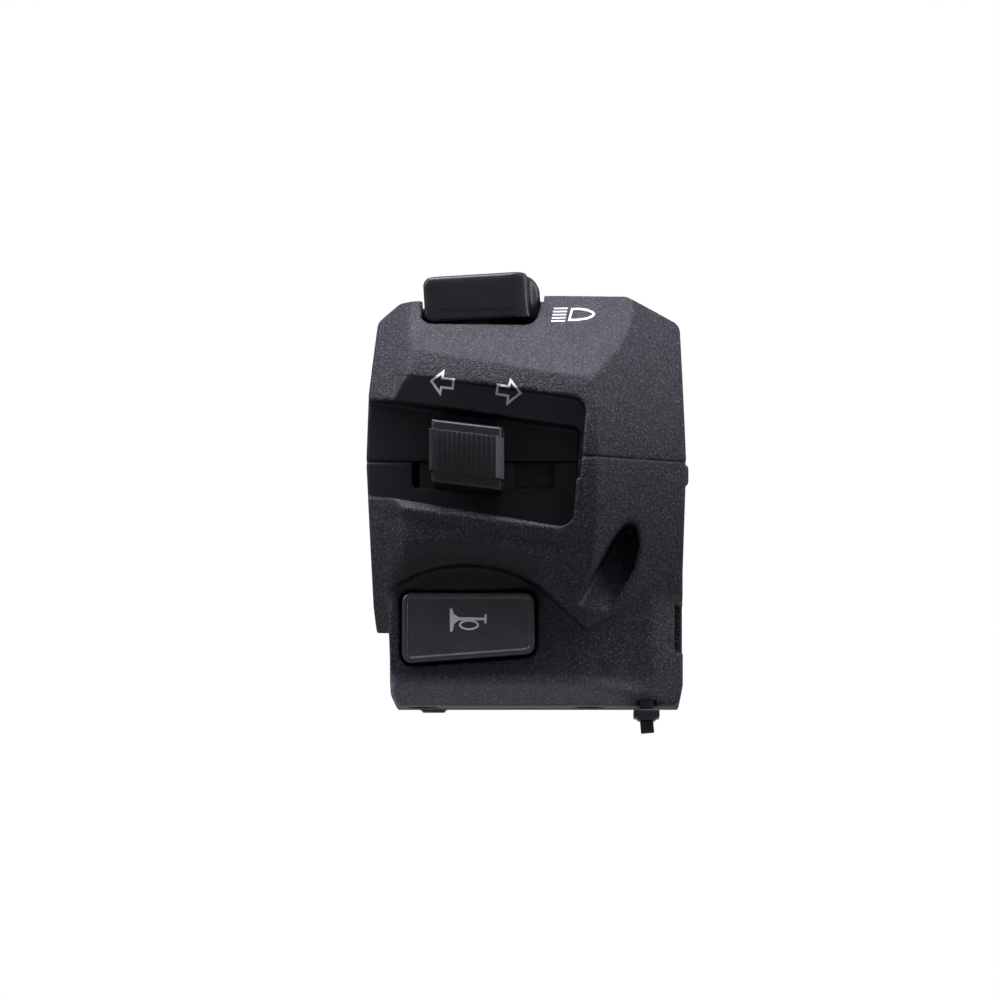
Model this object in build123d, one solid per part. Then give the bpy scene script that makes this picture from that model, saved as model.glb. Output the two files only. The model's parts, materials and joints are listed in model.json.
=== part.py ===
from build123d import *
from math import radians, sqrt, tan
import os

# Left-hand switch cluster for a 22.2 mm motorbike handlebar.
# X runs along the bar, away from the grip. The rider looks along +Y. Z is up.
# The origin is on the bar's axis, midway along the housing, in the plane where the shells meet.

# Handlebar and clamp
bar_diameter = 22.2
bar_gap = 0.05
saddle_wall = 2.0
bar_radius = bar_diameter / 2
bore_radius = bar_radius + bar_gap
saddle_radius = bore_radius + saddle_wall

# Housing
half_width = 28.8
top_height = 31.0
flank_depth = 31.6
front_reach = 33.0
rear_reach = 16.5
wall = 2.2
cavity_rear = 2.0
upper_barrel_radius = 47.0
lower_barrel_radius = 72.0
overrun = 60.0
edge_softness = 1.1
barrel_sweep = 80
crease_radius = 2.0
crease_zone = 23.5
crease_margin = 1.0

# Outline of the housing seen by the rider, as shares of half_width and of the height from the split
upper_outline_shares = [
    (1.0, 0.0), (0.965, 0.835), (0.63, 1.0), (0.05, 1.0),
    (-0.79, 0.95), (-0.93, 0.84), (-0.985, 0.39),
]
lower_outline_shares = [(-1.0, 0.0), (-0.955, -0.82), (-0.925, -1.0), (0.965, -1.0)]
outline_corner_radius = 2.2

# Creases of the housing in plan: the ridge, the right edge and the left bevel
ridge_x = 12.5
right_edge_reach = 22.5
left_bevel_x = 22.5
left_edge_reach = 26.0

# Top bevel, which carries the dip button
bevel_corner_height = 15.0
bevel_corner_reach = 30.2
top_bevel_heading = (0.065, -0.733, 0.676)

# Side view of the housing: the bottom, the back and the top
bottom_rear_y = -4.0
bottom_rise = 0.8
back_low_y = 12.0
back_low_z = -22.0
back_height = 12.0
top_rear_y = 4.0
back_radius = 9.0

# Horn pod below
pod_left_inset = 4.1
pod_right_inset = 0.6
pod_left = half_width - pod_left_inset
pod_right = half_width - pod_right_inset
pod_depth = 44.2
pod_top = 13.0
pod_reach = 24.6
pod_crease_x = 9.2
pod_side_x = 22.7
pod_side_reach = 21.5
pod_edge_reach = 18.0
pod_corner = 1.8
pod_bevel_height = 4.3
pod_bevel_run = 4.6

# Brow over the pod and the point under the scoop, as shares of half_width and flank_depth
brow_left_shares = (-0.86, -0.74)
brow_crown_shares = (-0.42, -0.60)
brow_right_shares = (0.08, -0.725)
chin_shares = (0.38, -0.975)
ledge_shares = (0.79, -0.745)
ledge_end_shares = (0.89, -0.815)
brow_outer_shares = (1.2, -0.85)

# Recess for the indicator knob
recess_floor_reach = 23.4
recess_left_x = 31.0
recess_left_top = 11.4
recess_right_x = 9.7
recess_right_top = 5.7
recess_low_x = 8.3
recess_low_z = -12.8
recess_left_low = -6.1
recess_top_radius = 1.2
recess_low_radius = 2.4
lip_width = 1.5
lip_reach = 31.4
lip_heading = (0.10, -0.76, 0.64)

# Smooth slanted band above the recess
band_left_x = 23.6
band_left_top = 15.2
band_right_x = 10.8
band_right_top = 10.5
band_low_x = 9.6
band_low_z = -4.0
band_radius = 2.6
band_reach = 30.7
band_heading = (0.02, -0.985, -0.17)

# Slot for the indicator stem
slot_left_x = 20.3
slot_right_x = 4.8
slot_height = 4.6

# Scoop in the right facet
scoop_outline_shares = [
    (0.0, 0.0), (0.16, 0.22), (0.62, 0.84), (0.82, 1.0), (0.95, 0.97),
    (1.0, 0.72), (0.92, 0.46), (0.70, 0.17), (0.52, 0.0),
]
scoop_left_x = 8.8
scoop_low_z = -26.6
scoop_width = 11.4
scoop_height = 15.4
scoop_corner_radius = 0.9
scoop_mouth_reach = 27.2
scoop_heading = (0.30, -0.90, 0.33)

# Cable outlet in the right wall
outlet_depth = 5.5
outlet_front = 18.8
outlet_rear = 9.5
outlet_top = -25.2
outlet_bottom = -34.0

# Clamp screws, driven in from below
screw_xs = (-18.6, 11.4)
screw_y = -14.8
screw_radius = 1.5
screw_hole_radius = 1.6
screw_pilot_gap = 0.03
screw_head_radius = 2.5
screw_head_height = 2.4
screw_socket_radius = 1.3
screw_socket_depth = 1.2
counterbore_radius = 2.65
screw_seat_z = -27.0
screw_tip_z = 9.0
boss_radius = 3.0
boss_low_radius = 4.0
boss_low_top = -24.5
boss_top = 11.2
pilot_top = 10.0

# Tongue on the upper shell that hooks into the lower one behind the bar
tongue_y = 13.1
tongue_thickness = 1.5
tongue_length = 2.6
tongue_width = 14.0
tongue_gap = 0.15

# Small moulded lugs
side_lug_proud = 0.5
side_lug_height = 3.2
side_lug_depth = 4.0
side_lug_y = -15.0
foot_lug_x = -16.7
foot_lug_y = -8.0
foot_lug_width = 4.0
foot_lug_depth = 3.0
foot_lug_height = 0.7

# Dip rocker
dip_x = -9.0
dip_pivot_z = 27.7
dip_rest_tilt = 3.5
dip_left = 9.3
dip_right = 9.6
dip_wide_right = 11.7
dip_front = 22.2
dip_rear = 8.6
dip_wide_front = 17.2
dip_face_chamfer = 2.6
dip_side_chamfer = 1.2
dip_top_z = 34.3
dip_bottom_z = 26.0
dip_corner_radius = 1.4
dip_right_corner_radius = 3.4
dip_low_corner_radius = 1.6
dip_wall = 1.6
dip_edge_radius = 0.7
dip_hub_radius = 2.2
dip_hub_front = 16.7
dip_hub_rear = 13.5
dip_web_width = 3.6
dip_stem_radius = 1.65
dip_stem_bottom = 21.2

# Notch in the housing for the dip rocker
notch_gap = 0.9
notch_low_gap = 1.0
notch_top_flare = 1.9
notch_corner_radius = 2.4
notch_rear_gap = 0.8
notch_rear_start = 17.6
notch_rear_low = 3.0

# Dip switch carrier
dip_pin_radius = 1.0
dip_pin_play = 0.04
dip_pin_engagement = 0.8
dip_ear_gap = 0.3
dip_ear_thickness = 1.4
dip_ear_radius = 2.3
dip_base_top = 15.8
dip_base_thickness = 1.8
dip_base_side_gap = 4.8
dip_base_left = half_width - dip_base_side_gap
dip_base_right = 9.2
dip_base_front = 19.2
dip_base_rear = 11.0
dip_base_screw_inset = 2.4
dip_base_screw_xs = (dip_base_screw_inset - dip_base_left, 6.6)
dip_base_screw_y = -15.1
dip_boss_radius = 2.1

# Plunger and seesaw contact of the dip switch
plunger_radius = 1.2
plunger_play = 0.05
plunger_top = 21.6
plunger_nose_z = 18.15
plunger_bore_top = 24.3
plunger_spring_wire = 0.3
plunger_spring_turns = 5
seesaw_reach_share = 0.4135
seesaw_half_length = seesaw_reach_share * (dip_base_left + dip_x)
seesaw_width = 3.0
seesaw_thickness = 0.5
seesaw_z = 17.3
seesaw_rise = 0.7
seesaw_rest_tilt = 4.0
seesaw_bead_radius = 0.6
seesaw_bead_play = 0.06
seesaw_cradle_drop = 0.3
terminal_width = 2.4
terminal_inset = 0.9
terminal_gap = 0.1

# Indicator carriage
carriage_x = -10.7
carriage_left = 8.5
carriage_right = 8.5
carriage_top = 1.2
carriage_bottom = -6.2
carriage_front = 20.9
carriage_rear = 18.6
stem_half_width = 4.1
stem_top = -0.4
stem_bottom = -4.2
stem_tip = 30.6
stem_edge = 0.3
indicator_travel = 5.0

# Indicator knob
knob_z = 0.3
knob_half_width = 6.75
knob_slope = 6.7
knob_front = 34.5
knob_shoulder = 32.3
knob_rear = 25.6
knob_face_half_height = 3.5
knob_shoulder_half_height = 5.7
knob_rear_half_height = 6.3
knob_edge_radius = 0.7
knob_end_chamfer = 1.9
knob_pocket_gap = 0.12
knob_pocket_bottom = 32.4
knob_rib_pitch = 0.88
knob_rib_depth = 0.35
knob_rib_count = 12
knob_spring_radius = 1.0
knob_spring_wire = 0.3
knob_spring_turns = 5
knob_spring_bore_radius = 1.3
knob_spring_seat = 26.5

# Indicator detent
detent_ball_radius = 1.0
detent_play = 0.08
detent_ball_y = -18.0
detent_bore_end = 23.3
detent_spring_wire = 0.26
detent_spring_turns = 5

# Indicator channel, contacts and wiper
channel_left = 15.2
channel_right = 7.9
channel_rear = 16.2
channel_floor = 17.6
channel_front = 20.5
channel_rail = 1.2
channel_gap = 0.3
channel_ear_half_width = 2.3
channel_ear_drop = 4.2
channel_screw_xs = (-12.4, 5.0)
channel_screw_z = -9.7
channel_post_radius = 2.0
groove_half_height = 1.1
groove_depth = 0.68
dimple_radius = 1.15
track_thickness = 0.45
track_height = 1.4
track_upper_z = 0.2
track_lower_z = -4.8
track_end_gap = 0.4
track_length = 4.2
wiper_half_length = 2.3
wiper_half_height = 3.2
wiper_thickness = 0.35
wiper_hole_radius = 1.3

# Horn button
horn_left_x = -22.3
horn_right_x = 1.5
horn_top_z = -23.9
horn_left_low_z = -36.7
horn_right_low_z = -34.9
horn_corner_radius = 1.7
horn_proud = 1.7
horn_flange_gap = 0.2
horn_flange_thickness = 1.0
horn_front = pod_reach + horn_proud
horn_flange_front = pod_reach - wall - horn_flange_gap
horn_flange_rear = horn_flange_front - horn_flange_thickness
horn_flange_proud = 0.7
horn_pocket_gap = 0.3
horn_opening_gap = 0.4
horn_rim_width = 0.9
horn_rim_height = 0.25
horn_edge_radius = 0.5
horn_travel = 1.8
horn_x = -10.4
horn_z = -30.2
horn_plunger_radius = 2.4
horn_plunger_length = 3.6
horn_plunger_rear = horn_flange_rear - horn_plunger_length
horn_nose_radius = 1.6
horn_nose_length = 1.0
horn_nose_rear = horn_plunger_rear - horn_nose_length

# Horn contacts, spring and base
washer_radius = 4.2
washer_thickness = 0.45
washer_play = 0.05
horn_terminal_gap = 0.05
horn_terminal_half_width = 1.2
horn_terminal_inner = 3.0
horn_terminal_length = 6.0
horn_base_gap = 3.2
horn_base_thickness = 1.6
horn_base_front = horn_plunger_rear - horn_base_gap
horn_base_rear = horn_base_front - horn_base_thickness
horn_base_left = 14.2
horn_base_right = 2.6
horn_base_top = -19.4
horn_base_bottom = -41.2
horn_cup_radius = 3.7
horn_cup_bore = 2.9
horn_cup_depth = 6.4
horn_cup_rear = horn_base_front - horn_cup_depth
horn_cup_floor = 0.9
horn_spring_radius = 2.2
horn_spring_wire = 0.4
horn_spring_turns = 6
horn_post_x = -4.9
horn_post_zs = (-21.1, -39.2)
horn_post_radius = 1.8

# Small screws of the three switches
small_screw_radius = 0.8
small_screw_play = 0.03
small_head_radius = 1.7
small_head_height = 1.2
small_screw_length = 5.5
small_recess_radius = 0.7
small_recess_depth = 0.5

# Cable tie
tie_side_gap = 6.6
tie_x = pod_right - tie_side_gap
tie_width = 2.5
tie_thickness = 1.0
tie_front = 21.0
tie_rear = 13.9
tie_loop_top = -40.4
tie_loop_bottom = -45.5
tie_loop_radius = 1.2
tie_slot_gap = 0.2
tie_head_width = 4.7
tie_head_front = 22.2
tie_head_rear = 17.4
tie_head_top = -44.45
tie_head_bottom = -46.5
tie_head_corner = 0.6
tie_tail_bottom = -49.8


def profile(points, radii=0):
    """Closed outline through points, with its corners rounded"""
    return make_face(FilletPolyline(*points, radius=radii, close=True))


def front_prism(sketch, front_y, rear_y):
    """An outline in X and Z, carried from front_y back to rear_y"""
    return extrude(Plane.XZ.offset(-rear_y) * sketch, amount=rear_y - front_y)


def side_prism(sketch, left_x, right_x):
    """An outline in Y and Z, carried from left_x to right_x"""
    return extrude(Plane.YZ.offset(left_x) * sketch, amount=right_x - left_x)


def plan_prism(sketch, low_z, high_z):
    """An outline in X and Y, carried from low_z up to high_z"""
    return extrude(Plane.XY.offset(low_z) * sketch, amount=high_z - low_z)


def block(x_range, y_range, z_range):
    """A box between two values on each axis"""
    low = Vector(min(x_range), min(y_range), min(z_range))
    high = Vector(max(x_range), max(y_range), max(z_range))
    size = high - low
    return Pos(low) * Box(size.X, size.Y, size.Z, align=(Align.MIN, Align.MIN, Align.MIN))


def pin_y(x, z, radius, front_y, rear_y):
    """A round pin from front_y back to rear_y"""
    return front_prism(Pos(x, z) * Circle(radius), front_y, rear_y)


def pin_z(x, y, radius, low_z, high_z):
    """A round pin from low_z up to high_z"""
    return plan_prism(Pos(x, y) * Circle(radius), low_z, high_z)


def half_space(origin, heading):
    """All that lies on the side of a plane to which its heading points"""
    side = 2 * overrun
    upward = (Align.CENTER, Align.CENTER, Align.MIN)
    return Plane(origin=origin, z_dir=heading) * Box(side, side, side, align=upward)


def spring_solid(radius, wire, turns, length):
    """A coil spring along Z, from its seat at zero"""
    pitch = (length - wire) / turns
    path = Helix(pitch=pitch, height=length - wire, radius=radius)
    section = Plane(origin=path @ 0, z_dir=path % 0) * Circle(wire / 2)
    coil = sweep(section, path=path)
    return Pos(0, 0, wire / 2) * coil


def scaled(shares, across, up):
    """Points from shares of two lengths"""
    return [(across * x, up * z) for x, z in shares]


def barrel_cutter(foot, outward, inset):
    """All outside a wall that stands upright at the split and leans back above and below it"""
    upper_radius = upper_barrel_radius - inset
    lower_radius = lower_barrel_radius - inset
    upper_arc = CenterArc((-upper_barrel_radius, 0), upper_radius, 0, barrel_sweep)
    lower_arc = CenterArc((-lower_barrel_radius, 0), lower_radius, -barrel_sweep, barrel_sweep)
    high = upper_arc @ 1
    low = lower_arc @ 0
    outside = Polyline(high, (overrun, high.Y), (overrun, low.Y), low)
    section = make_face([lower_arc, upper_arc, outside])
    place = Plane(origin=foot, x_dir=outward, z_dir=outward.cross(Vector(0, 0, 1)))
    return extrude(place * section, amount=overrun, both=True)


def plan_outward(start, end):
    """The outward heading of an upright wall that runs in plan from start to end, seen from the front"""
    run = Vector(*end) - Vector(*start)
    return Vector(run.Y, -run.X, 0).normalized()


def side_profile(inset):
    """Side view of the housing: flat bottom, sloping back, round behind the bar, flat top"""
    points = [
        (-front_reach, -pod_depth),
        (bottom_rear_y, bottom_rise - pod_depth),
        (back_low_y, back_low_z),
        (rear_reach, -back_height),
        (rear_reach, back_height),
        (top_rear_y, top_height),
        (-front_reach, top_height),
    ]
    radii = [0, back_radius, back_radius, back_radius, back_radius, back_radius, 0]
    sketch = profile(points, radii)
    if inset:
        sketch = offset(sketch, amount=-inset, kind=Kind.INTERSECTION)
    return sketch


def proud_form(inset):
    """The faceted body round the bar, drawn in by inset"""
    across = half_width - inset
    upper = scaled(upper_outline_shares, across, top_height - inset)
    lower = scaled(lower_outline_shares, across, flank_depth - inset)
    upper_radii = [0] + [outline_corner_radius] * (len(upper) - 1)
    lower_radii = [0] + [outline_corner_radius] * (len(lower) - 1)
    radii = upper_radii + lower_radii
    form = front_prism(profile(upper + lower, radii), -front_reach, rear_reach)
    form &= side_prism(side_profile(inset), -half_width, half_width)
    ridge = (ridge_x, -front_reach)
    right_edge = (half_width, -right_edge_reach)
    left_ridge = (-left_bevel_x, -front_reach)
    left_edge = (-half_width, -left_edge_reach)
    form -= barrel_cutter(ridge, Vector(0, -1, 0), inset)
    form -= barrel_cutter(ridge, plan_outward(ridge, right_edge), inset)
    form -= barrel_cutter(left_ridge, plan_outward(left_edge, left_ridge), inset)
    heading = Vector(*top_bevel_heading).normalized()
    corner = Vector(ridge_x, -bevel_corner_reach, bevel_corner_height)
    form -= half_space(corner - heading * inset, heading)
    return form


def brow_prism():
    """All below the brow, the point under the scoop and the ledge beside it"""
    points = {}
    names = ("left", "crown", "right", "chin", "ledge", "ledge_end", "outer")
    rows = (brow_left_shares, brow_crown_shares, brow_right_shares, chin_shares, ledge_shares,
            ledge_end_shares, brow_outer_shares)
    for name, row in zip(names, rows):
        points[name] = (row[0] * half_width, row[1] * flank_depth)
    left_x = points["left"][0]
    arc = ThreePointArc(points["left"], points["crown"], points["right"])
    rim = Polyline(points["right"], points["chin"], points["ledge"], points["ledge_end"], points["outer"])
    around = Polyline(
        points["outer"],
        (overrun, -overrun),
        (-overrun, -overrun),
        (-overrun, -flank_depth),
        (left_x, -flank_depth),
        points["left"],
    )
    sketch = make_face([arc, rim, around])
    return front_prism(sketch, -overrun, overrun)


def pod_form(inset):
    """The pod under the bar, drawn in by inset"""
    low = inset - pod_depth
    left = inset - pod_left
    right = pod_right - inset
    points = [
        (left, -pod_top),
        (left, low + pod_bevel_height),
        (left + pod_corner, low),
        (right - pod_corner / 2, low),
        (right, low + pod_bevel_height),
        (right, -pod_top),
    ]
    radii = [0, outline_corner_radius, pod_corner, edge_softness, outline_corner_radius, 0]
    form = front_prism(profile(points, radii), inset - pod_reach, rear_reach)
    form &= side_prism(side_profile(inset), -half_width, half_width)
    corners = [
        (pod_crease_x, -pod_reach),
        (pod_side_x, -pod_side_reach),
        (pod_right, -pod_edge_reach),
    ]
    for start, end in zip(corners, corners[1:]):
        outward = plan_outward(start, end)
        form -= half_space(Vector(*start) - outward * inset, outward)
    slope = Vector(0, -pod_bevel_height, -pod_bevel_run).normalized()
    edge = Vector(0, -pod_reach, pod_bevel_height - pod_depth)
    form -= half_space(edge - slope * inset, slope)
    return form


def recess_outline(grow=0):
    """Outline of the deep recess, open to the left"""
    points = [
        (-recess_left_x, recess_left_top),
        (recess_right_x, recess_right_top),
        (recess_low_x, recess_low_z),
        (-recess_left_x, recess_left_low),
    ]
    sketch = profile(points, [0, recess_top_radius, recess_low_radius, 0])
    if grow:
        sketch = offset(sketch, amount=grow)
    return sketch


def recess_cutter(grow=0):
    """The deep recess, or its guard when it is grown by the wall"""
    return front_prism(recess_outline(grow), -overrun, grow - recess_floor_reach)


def band_cutter(grow=0):
    """The slanted band above and beside the recess"""
    points = [
        (-band_left_x, band_left_top),
        (band_right_x, band_right_top),
        (band_low_x, band_low_z),
        (-band_left_x, band_low_z),
    ]
    sketch = profile(points, [0, band_radius, 0, 0])
    if grow:
        sketch = offset(sketch, amount=grow)
    heading = Vector(*band_heading).normalized()
    origin = Vector(-band_left_x, -band_reach, band_left_top) - heading * grow
    return front_prism(sketch, -overrun, 0) & half_space(origin, heading)


def lip_cutter():
    """The sloping lip along the foot of the recess"""
    points = [
        (-recess_left_x, recess_left_low),
        (recess_low_x, recess_low_z),
        (recess_low_x + lip_width, recess_low_z - lip_width),
        (-recess_left_x, recess_left_low - lip_width),
    ]
    heading = Vector(*lip_heading).normalized()
    origin = Vector(recess_low_x, -lip_reach, recess_low_z)
    return front_prism(profile(points), -overrun, 0) & half_space(origin, heading)


def scoop_cutter(grow=0):
    """The slanted scoop, deepest at its upper right"""
    points = []
    for share_x, share_z in scoop_outline_shares:
        points.append((scoop_left_x + share_x * scoop_width, scoop_low_z + share_z * scoop_height))
    sketch = profile(points, scoop_corner_radius)
    if grow:
        sketch = offset(sketch, amount=grow)
    heading = Vector(*scoop_heading).normalized()
    origin = Vector(scoop_left_x, -scoop_mouth_reach, scoop_low_z) - heading * grow
    return front_prism(sketch, -overrun, 0) & half_space(origin, heading)


def notch_cutter():
    """Opening for the dip rocker in the top bevel, wider behind it"""
    left = dip_x - dip_left - notch_gap
    right = dip_x + dip_right + notch_gap
    low = dip_bottom_z - notch_low_gap
    high = top_height + notch_low_gap
    points = [
        (left, high),
        (left, low),
        (right, low),
        (right + notch_top_flare, high),
    ]
    front = front_prism(profile(points, [0, notch_corner_radius, notch_corner_radius, 0]), -overrun, -dip_rear)
    wide_right = dip_x + dip_wide_right + notch_gap
    rear_y = notch_rear_gap - dip_rear
    rear = block((left, wide_right), (-notch_rear_start, rear_y), (low - notch_rear_low, high))
    return front + rear


def front_creases(form):
    """The creases between the facets of the front, without the seams at the split"""
    creases = []
    for edge in form.edges():
        middle = edge @ 0.5
        in_front = abs(middle.X) < crease_zone and middle.Y < -right_edge_reach
        if in_front and abs(middle.Z) > crease_margin and middle.Z > crease_margin - flank_depth:
            creases.append(edge)
    return creases


def outer_form():
    """The whole housing before it is split and hollowed"""
    proud = proud_form(0)
    proud = fillet(front_creases(proud), crease_radius)
    pod = pod_form(0)
    return (proud - brow_prism()) + pod


def screw_bosses():
    """Columns round the clamp screws"""
    columns = []
    for x in screw_xs:
        columns.append(pin_z(x, screw_y, boss_radius, -overrun, boss_top))
        columns.append(pin_z(x, screw_y, boss_low_radius, -overrun, boss_low_top))
    return columns


def switch_posts():
    """Posts and bosses on which the three switches are screwed down"""
    posts = []
    for x in dip_base_screw_xs:
        posts.append(pin_z(x, dip_base_screw_y, dip_boss_radius, dip_base_top, overrun))
    for x in channel_screw_xs:
        posts.append(pin_y(x, channel_screw_z, channel_post_radius, -channel_rear, 0))
    for z in horn_post_zs:
        posts.append(pin_y(horn_post_x, z, horn_post_radius, -overrun, -horn_base_front))
    return posts


def cavity_form():
    """The hollow inside both shells, less all that stands in it"""
    cavity = (proud_form(wall) - Pos(0, 0, wall) * brow_prism()) + pod_form(wall)
    cavity &= block((-overrun, overrun), (-overrun, cavity_rear), (-overrun, overrun))
    cavity -= side_prism(Circle(saddle_radius), -overrun, overrun)
    cavity -= recess_cutter(wall)
    cavity -= band_cutter(wall)
    cavity -= scoop_cutter(wall)
    for solid in screw_bosses() + switch_posts():
        cavity -= solid
    return cavity


def tongue(grow=0):
    """Tongue behind the bar"""
    half = tongue_width / 2 + grow
    y_range = (tongue_y - grow, tongue_y + tongue_thickness + grow)
    return block((-half, half), y_range, (-tongue_length - grow, tongue_gap))


def pilot_holes():
    """Holes that the small screws cut their thread in"""
    radius = small_screw_radius + small_screw_play
    depth = small_screw_length
    holes = []
    for x in dip_base_screw_xs:
        holes.append(pin_z(x, dip_base_screw_y, radius, dip_base_top, dip_base_top + depth))
    for x in channel_screw_xs:
        holes.append(pin_y(x, channel_screw_z, radius, -channel_rear, depth - channel_rear))
    for z in horn_post_zs:
        holes.append(pin_y(horn_post_x, z, radius, -horn_base_front - depth, -horn_base_front))
    return holes


def cut_all(solid, cutters):
    """A solid less each of the cutters"""
    for cutter in cutters:
        solid -= cutter
    return solid


def housing_cutters():
    """All that is cut from the housing as a whole"""
    cutters = [
        side_prism(Circle(bore_radius), -overrun, overrun),
        recess_cutter(),
        band_cutter(),
        lip_cutter(),
        scoop_cutter(),
        notch_cutter(),
    ]
    return cutters + pilot_holes()


def upper_shell(housing):
    """The upper half of the housing, with its notch, screw pilots and tongue"""
    shell = housing & block((-overrun, overrun), (-overrun, overrun), (0, overrun))
    radius = screw_radius + screw_pilot_gap
    for x in screw_xs:
        shell -= pin_z(x, screw_y, radius, 0, pilot_top)
    return shell + tongue()


def tie_slots():
    """The two slots that the cable tie passes through"""
    half = tie_width / 2 + tie_slot_gap
    x_range = (tie_x - half, tie_x + half)
    z_range = (-overrun, tie_loop_top + tie_slot_gap)
    front = block(x_range, (-tie_front - tie_slot_gap, tie_thickness + tie_slot_gap - tie_front), z_range)
    rear = block(x_range, (-tie_rear - tie_thickness - tie_slot_gap, tie_slot_gap - tie_rear), z_range)
    cross = block(
        x_range,
        (-tie_front, -tie_rear),
        (tie_loop_top - tie_thickness - tie_slot_gap, tie_loop_top + tie_slot_gap),
    )
    return front + rear + cross


def horn_outline(grow=0):
    """Outline of the horn button"""
    points = [
        (horn_left_x, horn_top_z),
        (horn_right_x, horn_top_z),
        (horn_right_x, horn_right_low_z),
        (horn_left_x, horn_left_low_z),
    ]
    sketch = profile(points, horn_corner_radius)
    if grow:
        sketch = offset(sketch, amount=grow)
    return sketch


def lower_shell(housing):
    """The lower half, with the stem slot, the horn opening, the outlet and the counterbores"""
    shell = housing & block((-overrun, overrun), (-overrun, overrun), (-overrun, 0))
    shell += block(
        (half_width - wall, half_width + side_lug_proud),
        (side_lug_y - side_lug_depth / 2, side_lug_y + side_lug_depth / 2),
        (-side_lug_height, 0),
    )
    shell += block(
        (foot_lug_x - foot_lug_width / 2, foot_lug_x + foot_lug_width / 2),
        (foot_lug_y - foot_lug_depth / 2, foot_lug_y + foot_lug_depth / 2),
        (-pod_depth - foot_lug_height, wall - pod_depth),
    )
    shell -= block((-slot_left_x, slot_right_x), (-overrun, -carriage_front), (-slot_height, 0))
    shell -= front_prism(horn_outline(horn_opening_gap), -overrun, -horn_flange_front)
    shell -= front_prism(
        horn_outline(horn_flange_proud + horn_pocket_gap),
        wall - pod_reach,
        horn_travel + horn_pocket_gap - horn_flange_rear,
    )
    outlet_heights = (outlet_bottom, outlet_top)
    shell -= block((pod_right - outlet_depth, overrun), (-outlet_front, -outlet_rear), outlet_heights)
    shell -= tie_slots()
    shell -= tongue(tongue_gap)
    for x in screw_xs:
        shell -= pin_z(x, screw_y, screw_hole_radius, -overrun, 0)
        shell -= pin_z(x, screw_y, counterbore_radius, -overrun, screw_seat_z)
    return shell


def clamp_screws():
    """Two socket-head screws, heads down in their counterbores"""
    screws = []
    for x in screw_xs:
        head_bottom = screw_seat_z - screw_head_height
        screw = pin_z(x, screw_y, screw_radius, screw_seat_z, screw_tip_z)
        screw += pin_z(x, screw_y, screw_head_radius, head_bottom, screw_seat_z)
        socket = Pos(x, screw_y) * RegularPolygon(screw_socket_radius, 6)
        screw -= plan_prism(socket, head_bottom, head_bottom + screw_socket_depth)
        screws.append(screw)
    return screws


def small_screw():
    """A small pan-head screw, head down, with its seat at zero"""
    screw = pin_z(0, 0, small_screw_radius, 0, small_screw_length)
    screw += pin_z(0, 0, small_head_radius, -small_head_height, 0)
    screw -= pin_z(0, 0, small_recess_radius, -small_head_height, small_recess_depth - small_head_height)
    return screw


def tilt_about(solid, x, z, angle):
    """A solid turned about a line along Y, right side down for a positive angle"""
    return Pos(x, 0, z) * Rot(0, angle, 0) * Pos(-x, 0, -z) * solid


def dip_rocker():
    """The button cap with the hub and stem that hang inside it, tilted as it latches"""
    left = dip_x - dip_left
    right = dip_x + dip_wide_right
    front_view = profile(
        [(left, dip_bottom_z), (left, dip_top_z), (right, dip_top_z), (right, dip_bottom_z)],
        [dip_low_corner_radius, dip_corner_radius, dip_right_corner_radius, dip_low_corner_radius],
    )
    narrow = dip_x + dip_right
    plan = profile([
        (left, -dip_front),
        (narrow - dip_face_chamfer, -dip_front),
        (narrow, dip_side_chamfer - dip_front),
        (narrow, -dip_wide_front),
        (right, dip_side_chamfer - dip_wide_front),
        (right, -dip_rear),
        (left, -dip_rear),
    ])
    cap = front_prism(front_view, -dip_front, -dip_rear)
    cap &= plan_prism(plan, dip_bottom_z, dip_top_z)
    cap = fillet(cap.faces().sort_by(Axis.Y)[0].edges(), dip_edge_radius)
    inner = block(
        (left + dip_wall, narrow - dip_wall - dip_side_chamfer),
        (dip_wall - dip_front, -dip_rear - dip_wall),
        (dip_bottom_z, dip_top_z - dip_wall),
    )
    cap -= inner
    ear_side = dip_web_width / 2
    ear_ranges = (
        (-dip_front + dip_wall / 2, dip_wall - dip_front),
        (-dip_rear - dip_wall, -dip_rear - dip_wall / 2),
    )
    for y_range in ear_ranges:
        cap += block((dip_x - ear_side, dip_x + ear_side), y_range, (dip_bottom_z, dip_top_z - dip_wall))
    hub = pin_y(dip_x, dip_pivot_z, dip_hub_radius, -dip_hub_front, -dip_hub_rear)
    hub += block(
        (dip_x - ear_side, dip_x + ear_side),
        (-dip_hub_front, -dip_hub_rear),
        (dip_pivot_z, dip_top_z - dip_wall),
    )
    middle = -(dip_hub_front + dip_hub_rear) / 2
    stem = pin_z(dip_x, middle, dip_stem_radius, dip_stem_bottom, dip_pivot_z)
    cap += hub + stem
    cap -= pin_z(dip_x, middle, plunger_radius + plunger_play, dip_stem_bottom, plunger_bore_top)
    hole_front = -dip_front + dip_wall - dip_pin_engagement - dip_pin_play
    hole_rear = -dip_rear - dip_wall + dip_pin_engagement + dip_pin_play
    cap -= pin_y(dip_x, dip_pivot_z, dip_pin_radius + dip_pin_play, hole_front, hole_rear)
    return tilt_about(cap, dip_x, dip_pivot_z, -dip_rest_tilt)


def dip_pivot_pin():
    """Pin through the carrier's ears and the rocker's hub"""
    front_y = dip_wall - dip_front - dip_pin_engagement
    rear_y = dip_pin_engagement - dip_rear - dip_wall
    return pin_y(dip_x, dip_pivot_z, dip_pin_radius, front_y, rear_y)


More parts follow.
